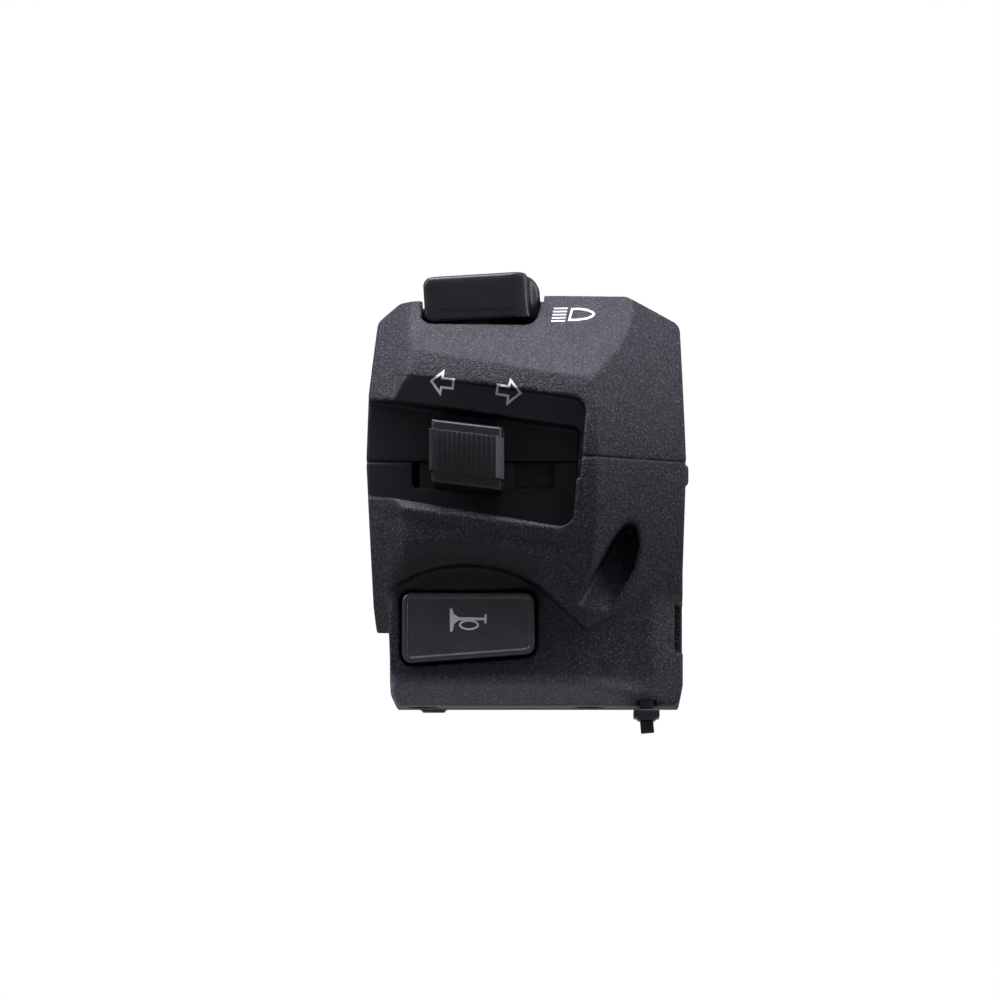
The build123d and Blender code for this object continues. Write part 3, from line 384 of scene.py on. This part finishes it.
def round_along(work, strokes, passes):
    """Wears the outer skin round along lines seen from the front, each with its reach"""
    group = work.vertex_groups.new(name="wear_and_painted_light")
    for vertex in work.data.vertices:
        x, y, z = vertex.co
        faces_inwards = vertex.normal.y * y + vertex.normal.z * z < 0
        if y > WEAR_AND_PAINTED_LIGHT_REAR or faces_inwards:
            continue
        weight = max(1.0 - distance_to(stroke, x, z) / reach for reach, stroke in strokes)
        if weight > 0:
            group.add([vertex.index], min(1.0, WEAR_GAIN * weight), "REPLACE")
    smooth = work.modifiers.new("wear_and_painted_light", "SMOOTH")
    smooth.factor = 0.5
    smooth.iterations = passes
    smooth.vertex_group = "wear_and_painted_light"
    apply_modifiers(work)


def reshape(mesh, shape):
    """Moves the points of a mesh by a function of their places and normals, all as arrays"""
    places, normals = point_values(mesh, "co"), point_values(mesh, "normal")
    moved = shape(*places.T.copy(), *normals.T)
    mesh.vertices.foreach_set("co", np.stack(moved, axis=1).ravel())
    mesh.update()


def softened(node, voxel, passes, triangles, strokes=(), stroke_passes=0, shape=None):
    """A finely meshed copy of a CAD node with its sharp edges worn round, standing for the node.
    It is made at one unit to the millimetre, because the remesher makes no smaller steps than
    a tenth of a unit."""
    mesh = nodes_by_name[node].data.copy()
    mesh.transform(Matrix.Scale(1 / MM, 4))
    work = bpy.data.objects.new("work", mesh)
    bpy.context.scene.collection.objects.link(work)
    remesh = work.modifiers.new("remesh", "REMESH")
    remesh.mode = "VOXEL"
    remesh.voxel_size = voxel
    remesh.use_smooth_shade = True
    apply_modifiers(work)
    if shape:
        reshape(work.data, shape)
    smooth = work.modifiers.new("smooth", "SMOOTH")
    smooth.factor = 0.5
    smooth.iterations = passes
    apply_modifiers(work)
    if strokes:
        round_along(work, strokes, stroke_passes)
    quads = len(work.data.polygons)
    if quads * 2 > triangles:
        thin = work.modifiers.new("thin", "DECIMATE")
        thin.ratio = triangles / (quads * 2)
        apply_modifiers(work)
    form = work.data
    bpy.data.objects.remove(work)
    form.transform(Matrix.Scale(MM, 4))
    form.name = node + "_form"
    for face in form.polygons:
        face.use_smooth = True
    obj = new_object(node + "_form", form, slot_of_node[node], body_of_node[node])
    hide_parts(node)
    return obj


# Lines on the front, as x and z

BROW = [(-24.6, -23.6), (-21.0, -20.6), (-16.0, -19.2), (-12.0, -18.9), (-8.0, -19.3),
        (-3.0, -21.0), (2.3, -22.9), (6.0, -26.4), (10.0, -30.4), (11.5, -30.6), (17.0, -27.0),
        (22.8, -23.5), (25.6, -25.8), (29.0, -26.5)]
BROW_OVER_HORN = BROW[:7]
LIP = [(-30.0, -7.4), (-10.0, -10.8), (8.6, -14.2)]
BAND_EDGE = [(-23.6, 15.2), (8.6, 10.8), (10.4, 9.2), (9.6, -1.0)]
RIDGES = [
    [(9.2, -29.5), (9.2, -39.0)],
    [(22.7, -25.0), (22.7, -40.5)],
    [(-24.0, -39.9), (9.2, -39.9), (22.7, -42.0), (27.0, -43.5)],
]
SCOOP = [(8.8, -26.6), (10.6, -23.2), (15.9, -13.7), (18.1, -11.2), (19.6, -11.6), (20.2, -15.5),
         (19.3, -19.5), (16.8, -24.0), (14.7, -26.6), (8.8, -26.6)]
ROCKER_EDGES = [(-18.7, 26.5), (-18.6, 33.9), (-1.0, 34.9), (0.6, 34.7), (0.9, 26.5)]
ROCKER_SIDE = [(0.9, 35.0), (3.0, 33.0), (3.4, 27.0)]

UPPER_STROKES = [(0.9, BAND_EDGE)]
LOWER_STROKES = [(3.4, BROW), (0.8, SCOOP)] + [(2.2, ridge) for ridge in RIDGES]
ROCKER_STROKES = [(3.4, ROCKER_EDGES), (1.8, ROCKER_SIDE)]

# Outlines of the smooth faces of the recess and of the band over it
RECESS = [(-32.0, 11.5), (9.7, 5.7), (8.3, -12.8), (-32.0, -6.0)]
BAND = [(-23.6, 15.2), (8.6, 10.8), (10.4, 9.2), (9.6, -4.0), (-23.6, -4.0)]
ZONE_LOW, ZONE_HIGH = -14.0, 17.0

# The skin of the front wall lies in front of this plane
SKIN_REAR = -20.0

# Where the painted shade by the brow and the painted light on the bottom bevel change, as the
# values that plateau and step take
PAINTED_SHADE_OVER_BROW, PAINTED_SHADE_ALONG = (-5.5, -0.5, 1.0, 6.5), (-25.5, -20.0, 0.0, 5.0)
PAINTED_LIGHT_HEIGHT, PAINTED_LIGHT_ALONG = (-41.0, -38.0), (14.0, 25.0)


def mark_smooth_zone(obj):
    """Writes how far each point lies inside the smooth faces of the recess"""
    mesh = obj.data
    zone = mesh.attributes.new("smooth_zone", "FLOAT", "POINT")
    for index, vertex in enumerate(mesh.vertices):
        x, y, z = vertex.co / MM
        value = -1.0
        if y < SKIN_REAR and ZONE_LOW < z < ZONE_HIGH:
            value = max(inside_by(RECESS, x, z), inside_by(BAND, x, z))
        zone.data[index].value = max(-1.0, min(1.0, value))


def mark_painted_light_and_shade(obj):
    """Writes where painted shade darkens the hollow under the brow, and painted light pales the
    bottom bevel
    """
    x, y, z = point_values(obj.data, "co").T / MM
    over_brow = z - height_on(BROW_OVER_HORN, x)
    # Painted shade darkens the hollow under the brow, and painted light pales the bottom bevel as
    # if lit from below
    dark = plateau(over_brow, *PAINTED_SHADE_OVER_BROW) * plateau(x, *PAINTED_SHADE_ALONG) * (y < SKIN_REAR)
    painted_light_mask = (1 - step(z, *PAINTED_LIGHT_HEIGHT)) * (y < WEAR_AND_PAINTED_LIGHT_REAR) * (1 - step(x, *PAINTED_LIGHT_ALONG))
    painted_light_and_shade = obj.data.attributes.new("painted_light_and_shade", "FLOAT", "POINT")
    painted_light_and_shade.data.foreach_set("value", painted_light_mask - dark)


# The housing and the controls, with their moulded edges rounded. A shape function is given the
# places of all points and the parts of their normals: across, forward (away from the camera)
# and upward. It returns the new places.

NOTCH_LEFT, NOTCH_RIGHT, NOTCH_REAR = -19.5, 3.6, -8.0
NOTCH_FLOOR, NOTCH_OPEN = 25.5, 28.0
LEFT_SHIFT, RIGHT_SHIFT = 0.5, 0.35


def upper_shape(x, y, z, across, forward, upward):
    """The side walls of the notch, closer to the rocker. The shift fades out in the shell beside
    each wall, and towards the floor of the notch."""
    at_left = step(x, NOTCH_LEFT - 1.1, NOTCH_LEFT) * (x < NOTCH_LEFT + 0.6)
    at_right = (1 - step(x, NOTCH_RIGHT + 0.1, NOTCH_RIGHT + 1.0)) * (x > NOTCH_RIGHT - 0.6)
    shift = LEFT_SHIFT * at_left - RIGHT_SHIFT * at_right
    return x + shift * step(z, NOTCH_FLOOR, NOTCH_OPEN) * (y < NOTCH_REAR), y, z


HOLLOW_DEPTH, HOLLOW_BELOW_LIP, HOLLOW_ALONG = 0.4, (1.0, 1.9, 2.0, 6.0), (-26.0, -22.0, 5.0, 9.5)
TURN_DEPTH, TURN_HEIGHT, TURN_ALONG = 2.6, 5.0, (-25.0, -21.5, -1.5, 3.0)
BROW_REAR, UNDERSIDE_REAR = -26.0, -24.0
# The brow's edge is the skin this near its line, between these two ends
EDGE_BAND, EDGE_LEFT, EDGE_RIGHT = 0.8, -23.0, 2.0
# The turned skin starts this far below the line, and the underside reaches this far from it
BROW_OVERLAP, UNDERSIDE_BAND = 0.3, 1.2
FLANK_EDGE, FLANK_LOW, FLANK_RISE, FLANK_STEP = -24.6, -28.6, 0.105, 1.1
LUG_LOW = -43.9


def lower_shape(x, y, z, across, forward, upward):
    """A hollow under the lip, a brow that turns inwards over the horn, and a shorter left flank"""
    skin = (y < SKIN_REAR) & (forward < -0.2)
    below_lip = height_on(LIP, x) - z
    hollow = HOLLOW_DEPTH * plateau(below_lip, *HOLLOW_BELOW_LIP) * plateau(x, *HOLLOW_ALONG)

    over_brow = z - height_on(BROW_OVER_HORN, x)
    ends = plateau(x, *TURN_ALONG)
    turn = TURN_DEPTH * np.clip(1 - over_brow / TURN_HEIGHT, 0.0, 1.0) ** 2 * ends
    edge = skin & (np.abs(over_brow) < EDGE_BAND) & (y < BROW_REAR)
    edge &= (x > EDGE_LEFT) & (x < EDGE_RIGHT)
    turned_edge = np.polyval(np.polyfit(x[edge], y[edge], 3), x) + turn
    brow_skin = skin & (over_brow > -BROW_OVERLAP) & (over_brow < TURN_HEIGHT) & (y < BROW_REAR)
    underside = ~brow_skin & (np.abs(over_brow) < UNDERSIDE_BAND) & (ends > 0)
    underside &= (y < turned_edge) & (y < UNDERSIDE_REAR)
    moved = y + hollow * skin + turn * brow_skin
    moved = np.where(underside, np.maximum(y, turned_edge), moved)

    flank_low = FLANK_LOW + FLANK_RISE * y + FLANK_STEP * (upward > 0.3)
    z = np.where((x < FLANK_EDGE) & (z < flank_low), flank_low, z)
    return x, moved, np.maximum(z, LUG_LOW)


KNOB_X, KNOB_Z, KNOB_SLOPE = -10.7, 0.3, math.tan(math.radians(6.7))
FRONT_HALF_HEIGHT = 7.5
RIB_PITCH, RIB_COUNT, RIB_DEPTH, HALF_GROOVE, RIBS_END = 0.88, 12, 0.36, 0.31, 5.3
PAD_FRONT, PAD_CROWN, PAD_HALF_HEIGHT, PAD_REAR = -34.46, 0.021, 3.85, -33.3
BLOCK_FRONT, BLOCK_SLOPE, BLOCK_HALF_HEIGHT = -32.85, 0.1, 6.2
BLOCK_LEFT, BLOCK_RIGHT = 6.35, 6.75
LEFT_CORNER, RIGHT_CORNER = 1.1, 1.5
# The block turns back at its upper and lower edges and at its ends: drop, span, limit and power
TURN_START = 5.2
EDGE_TURN, END_TURN = (1.3, 1.0, 1.5, 2.5), (1.4, 1.5, 1.0, 3)


def turned_back(distance, drop, span, limit, power):
    """How far the block's front turns back at a distance from its middle"""
    return drop * np.clip((distance - TURN_START) / span, 0, limit) ** power


def knob_shape(x, y, z, across, forward, upward):
    """A ribbed pad standing proud of a smooth block with rounded ends"""
    u = x - KNOB_X
    v = z - KNOB_Z + u * KNOB_SLOPE
    high = np.abs(v)
    on_pad = high < PAD_HALF_HEIGHT
    last_groove = RIB_COUNT / 2 - 0.5
    groove_number = np.clip(np.round(u / RIB_PITCH + 0.5) - 0.5, -last_groove, last_groove)
    in_groove = np.abs(u - groove_number * RIB_PITCH) < HALF_GROOVE
    in_groove &= np.abs(u) < RIBS_END
    pad = PAD_FRONT + PAD_CROWN * high ** 2 + RIB_DEPTH * in_groove
    block = BLOCK_FRONT + BLOCK_SLOPE * (high - PAD_HALF_HEIGHT)
    block += turned_back(high, *EDGE_TURN)
    block += turned_back(np.abs(u), *END_TURN)
    front = np.where(on_pad, pad, block)
    y = np.where((high < FRONT_HALF_HEIGHT) & (y < front), front, y)

    on_block = ~on_pad | (y > PAD_REAR)
    u = np.where(on_block & (u < -BLOCK_LEFT), -BLOCK_LEFT, u)
    for side, reach, radius in ((1, BLOCK_RIGHT, RIGHT_CORNER), (-1, BLOCK_LEFT, LEFT_CORNER)):
        for way in (1, -1):
            du = side * u - (reach - radius)
            dv = way * v - (BLOCK_HALF_HEIGHT - radius)
            far = np.hypot(du, dv)
            corner = on_block & (du > 0) & (dv > 0) & (far > radius)
            pull = np.where(corner, radius / np.maximum(far, 1e-6), 1.0)
            u = np.where(corner, side * (reach - radius + du * pull), u)
            v = np.where(corner, way * (BLOCK_HALF_HEIGHT - radius + dv * pull), v)
    return u + KNOB_X, y, v + KNOB_Z - u * KNOB_SLOPE


PARTING_X, PARTING_Z, PARTING_SLOPE = -9.0, 27.9, 0.022
SKIRT_HEIGHT, SKIRT_SET_BACK = 6.0, 0.16


def rocker_shape(x, y, z, across, forward, upward):
    """The skirt below the parting line of the cap, set back a little"""
    line = PARTING_Z + PARTING_SLOPE * (x - PARTING_X)
    skirt = (z < line) & (z > line - SKIRT_HEIGHT) & (y < SKIN_REAR) & (forward < -0.5)
    return x, y + SKIRT_SET_BACK * skirt, z


upper = softened("upper_shell", voxel=0.3, passes=3, triangles=190000, strokes=UPPER_STROKES,
                 stroke_passes=12, shape=upper_shape)
lower = softened("lower_shell", voxel=0.3, passes=3, triangles=190000, strokes=LOWER_STROKES,
                 stroke_passes=60, shape=lower_shape)
mark_smooth_zone(upper)
mark_smooth_zone(lower)
mark_painted_light_and_shade(lower)
softened("dip_rocker", voxel=0.13, passes=3, triangles=120000, strokes=ROCKER_STROKES,
         stroke_passes=260, shape=rocker_shape)
softened("indicator_knob", voxel=0.08, passes=1, triangles=170000, shape=knob_shape)
horn = softened("horn_button", voxel=0.13, passes=4, triangles=90000)


# The return springs, which shorten as their buttons go in; here each is copied with its CAD shape

def shortening_spring(node):
    """A copy of a spring with its own mesh, standing for the CAD node"""
    mesh = nodes_by_name[node].data.copy()
    obj = new_object(node + "_form", mesh, slot_of_node[node], body_of_node[node])
    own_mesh(obj)
    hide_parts(node)


for joint in behaviour["joints"]:
    for row in joint.get("deforming_nodes", ()):
        shortening_spring(row["node"])


# Cable tie

def add_block(work, x_range, y_range, z_range, bevel, turn=0.0, pivot=(0.0, 0.0, 0.0)):
    """A block with rounded edges between two values on each axis, turned about Y at pivot"""
    made = bmesh.ops.create_cube(work, size=1.0)["verts"]
    low = Vector((x_range[0], y_range[0], z_range[0]))
    high = Vector((x_range[1], y_range[1], z_range[1]))
    size = high - low
    for vertex in made:
        for axis in range(3):
            vertex.co[axis] = (low[axis] + high[axis]) / 2 + vertex.co[axis] * size[axis]
    edges = list({edge for vertex in made for edge in vertex.link_edges})
    result = bmesh.ops.bevel(work, geom=edges, offset=bevel, segments=3, profile=0.5,
                             affect="EDGES")
    if turn:
        corners = {vertex for face in result["faces"] for vertex in face.verts}
        there = Matrix.Translation(Vector(pivot))
        back = Matrix.Translation(-Vector(pivot))
        rotation = there @ Matrix.Rotation(math.radians(turn), 4, "Y") @ back
        for vertex in corners:
            vertex.co = rotation @ vertex.co


TIE_X = 21.6
# How far each block reaches to the left and right of TIE_X, its y, its z and its edge radius
TIE_BLOCKS = [
    (1.25, 1.25, (-21.0, -20.0), (-44.9, -40.6), 0.25),  # strap in front
    (1.25, 1.25, (-14.9, -13.9), (-45.2, -40.6), 0.25),  # strap behind
    (1.25, 1.25, (-20.9, -14.0), (-41.4, -40.4), 0.3),  # strap over the wall
    (1.25, 1.25, (-20.9, -14.0), (-45.5, -44.5), 0.3),  # strap under it
    (2.35, 2.35, (-22.2, -17.4), (-46.1, -44.5), 0.35),  # head
    (1.75, 1.75, (-22.0, -17.6), (-46.5, -45.0), 0.45),  # lower part of the head
    (0.5, 2.3, (-22.0, -20.2), (-45.2, -44.5), 0.2),  # pawl
]
TAIL_PIVOT, TAIL_TURN = (TIE_X, -20.5, -46.4), -5.0
TAIL_Y, TAIL_Z, TAIL_HALF_WIDTH, TAIL_BEVEL = (-20.95, -20.15), (-48.8, -45.6), 1.2, 0.15
TOOTH_COUNT, TOOTH_PITCH, TOOTH_HEIGHT, TOOTH_TOP = 5, 0.43, 0.22, -46.7
TOOTH_Y, TOOTH_HALF_WIDTH, TOOTH_BEVEL = (-21.2, -20.7), 0.95, 0.08


def cable_tie():
    """The strap through both slots, its head, and the toothed tail"""
    work = bmesh.new()
    for left, right, y_range, z_range, bevel in TIE_BLOCKS:
        add_block(work, (TIE_X - left, TIE_X + right), y_range, z_range, bevel)
    width = (TIE_X - TAIL_HALF_WIDTH, TIE_X + TAIL_HALF_WIDTH)
    add_block(work, width, TAIL_Y, TAIL_Z, TAIL_BEVEL, TAIL_TURN, TAIL_PIVOT)
    width = (TIE_X - TOOTH_HALF_WIDTH, TIE_X + TOOTH_HALF_WIDTH)
    for index in range(TOOTH_COUNT):
        top = TOOTH_TOP - index * TOOTH_PITCH
        add_block(work, width, TOOTH_Y, (top - TOOTH_HEIGHT, top), TOOTH_BEVEL, TAIL_TURN,
                  TAIL_PIVOT)
    mesh = bpy.data.meshes.new("cable_tie_form")
    work.to_mesh(mesh)
    work.free()
    mesh.transform(Matrix.Scale(MM, 4))
    for face in mesh.polygons:
        face.use_smooth = True
    obj = new_object("cable_tie_form", mesh, "nylon_tie", "housing")
    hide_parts("cable_tie")


cable_tie()


# Printed symbols, laid on the surface along the line of sight

PRINT_LIFT = 0.03
LONGEST_EDGE, WELD_DISTANCE, MOST_CUTS = 0.35, 0.01, 4
ARROW_STROKE, HEADLAMP_STROKE = 0.42, 0.38
# In metres: where the search for the surface starts, and how far it goes where nothing is hit
SEARCH_START, SEARCH_MISS = 0.1, 0.07


def filled(name, outlines):
    """Closed outlines filled by the even-odd rule, cut into small triangles"""
    curve = bpy.data.curves.new(name, "CURVE")
    curve.dimensions = "2D"
    curve.fill_mode = "BOTH"
    for outline in outlines:
        spline = curve.splines.new("POLY")
        spline.points.add(len(outline) - 1)
        for point, (u, v) in zip(spline.points, outline):
            point.co = (u, v, 0.0, 1.0)
        spline.use_cyclic_u = True
    flat = bpy.data.objects.new(name, curve)
    bpy.context.scene.collection.objects.link(flat)
    mesh = evaluated(flat)
    bpy.data.objects.remove(flat)
    work = bmesh.new()
    work.from_mesh(mesh)
    bmesh.ops.triangulate(work, faces=work.faces)
    for _ in range(MOST_CUTS):
        long_edges = [edge for edge in work.edges if edge.calc_length() > LONGEST_EDGE]
        if not long_edges:
            break
        bmesh.ops.subdivide_edges(work, edges=long_edges, cuts=1)
        bmesh.ops.triangulate(work, faces=work.faces)
    bmesh.ops.remove_doubles(work, verts=work.verts, dist=WELD_DISTANCE)
    return work


def print_symbol(name, outlines, target, body, ink=MATERIALS["print_ink"]):
    """A symbol given by its outlines as x and z, laid on the target"""
    work = filled(name, outlines)
    tree = BVHTree.FromObject(target, bpy.context.evaluated_depsgraph_get())
    for vertex in work.verts:
        start = Vector((vertex.co.x, 0.0, vertex.co.y)) * MM - SIGHT * SEARCH_START
        hit = tree.ray_cast(start, SIGHT)[0]
        if hit is None:
            hit = start + SIGHT * SEARCH_MISS
        vertex.co = hit - SIGHT * PRINT_LIFT * MM
    bmesh.ops.recalc_face_normals(work, faces=work.faces)
    if sum(face.normal.y for face in work.faces) > 0:
        bmesh.ops.reverse_faces(work, faces=work.faces)
    mesh = bpy.data.meshes.new(name)
    work.to_mesh(mesh)
    work.free()
    obj = new_object(name, mesh, "print_ink", body)
    obj.data.materials[0] = ink


def inset(points, width):
    """An outline drawn in by width, for a closed outline that runs clockwise"""
    result = []
    count = len(points)
    for index in range(count):
        before = Vector(points[index - 1])
        here = Vector(points[index])
        after = Vector(points[(index + 1) % count])
        first = (here - before).normalized()
        second = (after - here).normalized()
        first_normal = Vector((first.y, -first.x))
        second_normal = Vector((second.y, -second.x))
        middle = (first_normal + second_normal).normalized()
        reach = width / max(0.3, middle.dot(first_normal))
        result.append(tuple(here + middle * reach))
    return result


def oval(x, z, across, up, count=28):
    turns = [2 * math.pi * index / count for index in range(count)]
    return [(x + across * math.cos(turn), z + up * math.sin(turn)) for turn in turns]


LEFT_ARROW = [(-17.34, 17.06), (-14.65, 19.12), (-14.83, 17.7), (-12.83, 17.48), (-13.05, 15.41),
              (-15.1, 15.65), (-15.4, 14.27)]
RIGHT_ARROW = [(-0.76, 14.79), (-3.59, 12.57), (-3.49, 14.18), (-5.55, 14.49), (-5.31, 16.56),
               (-3.28, 16.2), (-2.91, 17.57)]
HEADLAMP = [(8.15, 30.4), (9.6, 30.45), (11.0, 30.25), (12.1, 29.8), (12.47, 29.3), (12.1, 28.75),
            (11.0, 28.3), (9.3, 28.05), (7.5, 28.0)]
BEAM = [(4.5, 27.85), (7.0, 27.9), (7.0, 28.17), (4.5, 28.12)]
BEAM_COUNT, BEAM_SHIFT, BEAM_PITCH = 5, 0.12, 0.58
BELL = [(-13.75, -24.05), (-13.3, -24.05), (-13.0, -25.0), (-12.2, -25.6), (-7.55, -25.7),
        (-7.5, -25.1), (-7.1, -25.1), (-7.15, -26.7), (-7.5, -26.7), (-7.55, -26.15),
        (-12.2, -26.2), (-13.0, -26.9), (-13.25, -28.2), (-13.7, -28.2)]
HORN_LOOP = [oval(-10.3, -27.0, 1.8, 0.95), oval(-10.3, -27.0, 1.42, 0.6)]
beams = [[(x + index * BEAM_SHIFT, z + index * BEAM_PITCH) for x, z in BEAM]
         for index in range(BEAM_COUNT)]

for name, arrow in (("left_arrow_print", LEFT_ARROW), ("right_arrow_print", RIGHT_ARROW)):
    print_symbol(name, [arrow, inset(arrow, ARROW_STROKE)], upper, "housing")
print_symbol("headlamp_print", [HEADLAMP, inset(HEADLAMP, HEADLAMP_STROKE)] + beams, upper,
             "housing")
print_symbol("horn_print", [BELL], horn, "horn_push", horn_ink)
print_symbol("horn_loop_print", HORN_LOOP, horn, "horn_push", horn_ink)


# Every other CAD node keeps its shape and takes its detailed material

for node, obj in nodes_by_name.items():
    obj.data.materials.clear()
    obj.data.materials.append(MATERIALS[slot_of_node[node]])


# Floor, light and camera, in metres

FLOOR_LEVEL, FLOOR_REACH = -0.3, 6.0
FLOOR_GREY, FLOOR_SEEN, FLOOR_MIRRORED = 0.2, 0.86, 0.37
WORLD_MIRRORED = 0.22
AMBIENT_BELOW, AMBIENT_ABOVE = 0.03, 0.26
LAMP_AIM = (0.0, -0.01, 0.0)


def seen_share(nodes, mirrored):
    """1 for the camera and through glass, and the share given for reflections"""
    path = nodes.add("ShaderNodeLightPath").outputs
    direct = nodes.math("MAXIMUM", path["Is Camera Ray"], path["Is Transmission Ray"])
    return nodes.math("MAXIMUM", direct, nodes.times(path["Is Glossy Ray"], mirrored))


def studio_floor():
    """A plain floor that shows pale and gives little light back"""
    mesh = bpy.data.meshes.new("floor")
    corners = [(x * FLOOR_REACH, y * FLOOR_REACH, FLOOR_LEVEL)
               for x, y in ((-1, -1), (1, -1), (1, 1), (-1, 1))]
    mesh.from_pydata(corners, [], [(0, 1, 2, 3)])
    floor = bpy.data.objects.new("floor", mesh)
    bpy.context.scene.collection.objects.link(floor)
    s = Shader("floor")
    s.surface.inputs["Base Color"].default_value = grey(FLOOR_GREY)
    s.surface.inputs["Roughness"].default_value = 0.8
    s.surface.inputs["Emission Color"].default_value = grey(1.0)
    s.link(s.times(seen_share(s, FLOOR_MIRRORED), FLOOR_SEEN),
           s.surface.inputs["Emission Strength"])
    mesh.materials.append(s.material)


def studio_world():
    """White to the camera, and soft light on the part, more of it from above"""
    world = bpy.data.worlds.new("studio")
    bpy.context.scene.world = world
    world.use_nodes = True
    nodes = Nodes(world.node_tree)
    split = nodes.add("ShaderNodeSeparateXYZ")
    nodes.link(nodes.add("ShaderNodeTexCoord").outputs["Generated"], split.inputs[0])
    ambient = nodes.spread(split.outputs["Z"], -0.1, 1.0, AMBIENT_BELOW, AMBIENT_ABOVE)
    background = nodes.tree.nodes["Background"]
    background.inputs["Color"].default_value = grey(1.0)
    nodes.link(nodes.spread(seen_share(nodes, WORLD_MIRRORED), 0.0, 1.0, ambient, 1.0),
               background.inputs["Strength"])


def add_lamp(name, place, size, power):
    data = bpy.data.lights.new(name, "AREA")
    data.shape = "RECTANGLE"
    data.size, data.size_y = size
    data.energy = power
    obj = bpy.data.objects.new(name, data)
    bpy.context.scene.collection.objects.link(obj)
    obj.location = place
    obj.rotation_mode = "QUATERNION"
    obj.rotation_quaternion = (Vector(LAMP_AIM) - Vector(place)).to_track_quat("-Z", "Y")


studio_floor()
studio_world()
add_lamp("top", place=(-0.03, -0.12, 0.62), size=(0.5, 0.35), power=6.5)
add_lamp("left", place=(-0.5, -0.12, 0.4), size=(0.3, 0.4), power=2.8)
add_lamp("right", place=(0.57, -0.08, 0.27), size=(0.3, 0.5), power=2.0)

CAMERA_DISTANCE = 2.0
FRAME_WIDTH = 0.1797
LOOK_AT = Vector((-4.73, -25.0, -7.1)) * MM
camera_data = bpy.data.cameras.new("camera")
camera_data.sensor_width = 36.0
camera_data.lens = camera_data.sensor_width * CAMERA_DISTANCE / FRAME_WIDTH
camera_data.clip_start = 0.01
camera = bpy.data.objects.new("camera", camera_data)
bpy.context.scene.collection.objects.link(camera)
camera.location = LOOK_AT - SIGHT * CAMERA_DISTANCE
camera.rotation_mode = "QUATERNION"
camera.rotation_quaternion = SIGHT.to_track_quat("-Z", "Y")
bpy.context.scene.camera = camera
bpy.context.scene.view_settings.view_transform = "Standard"
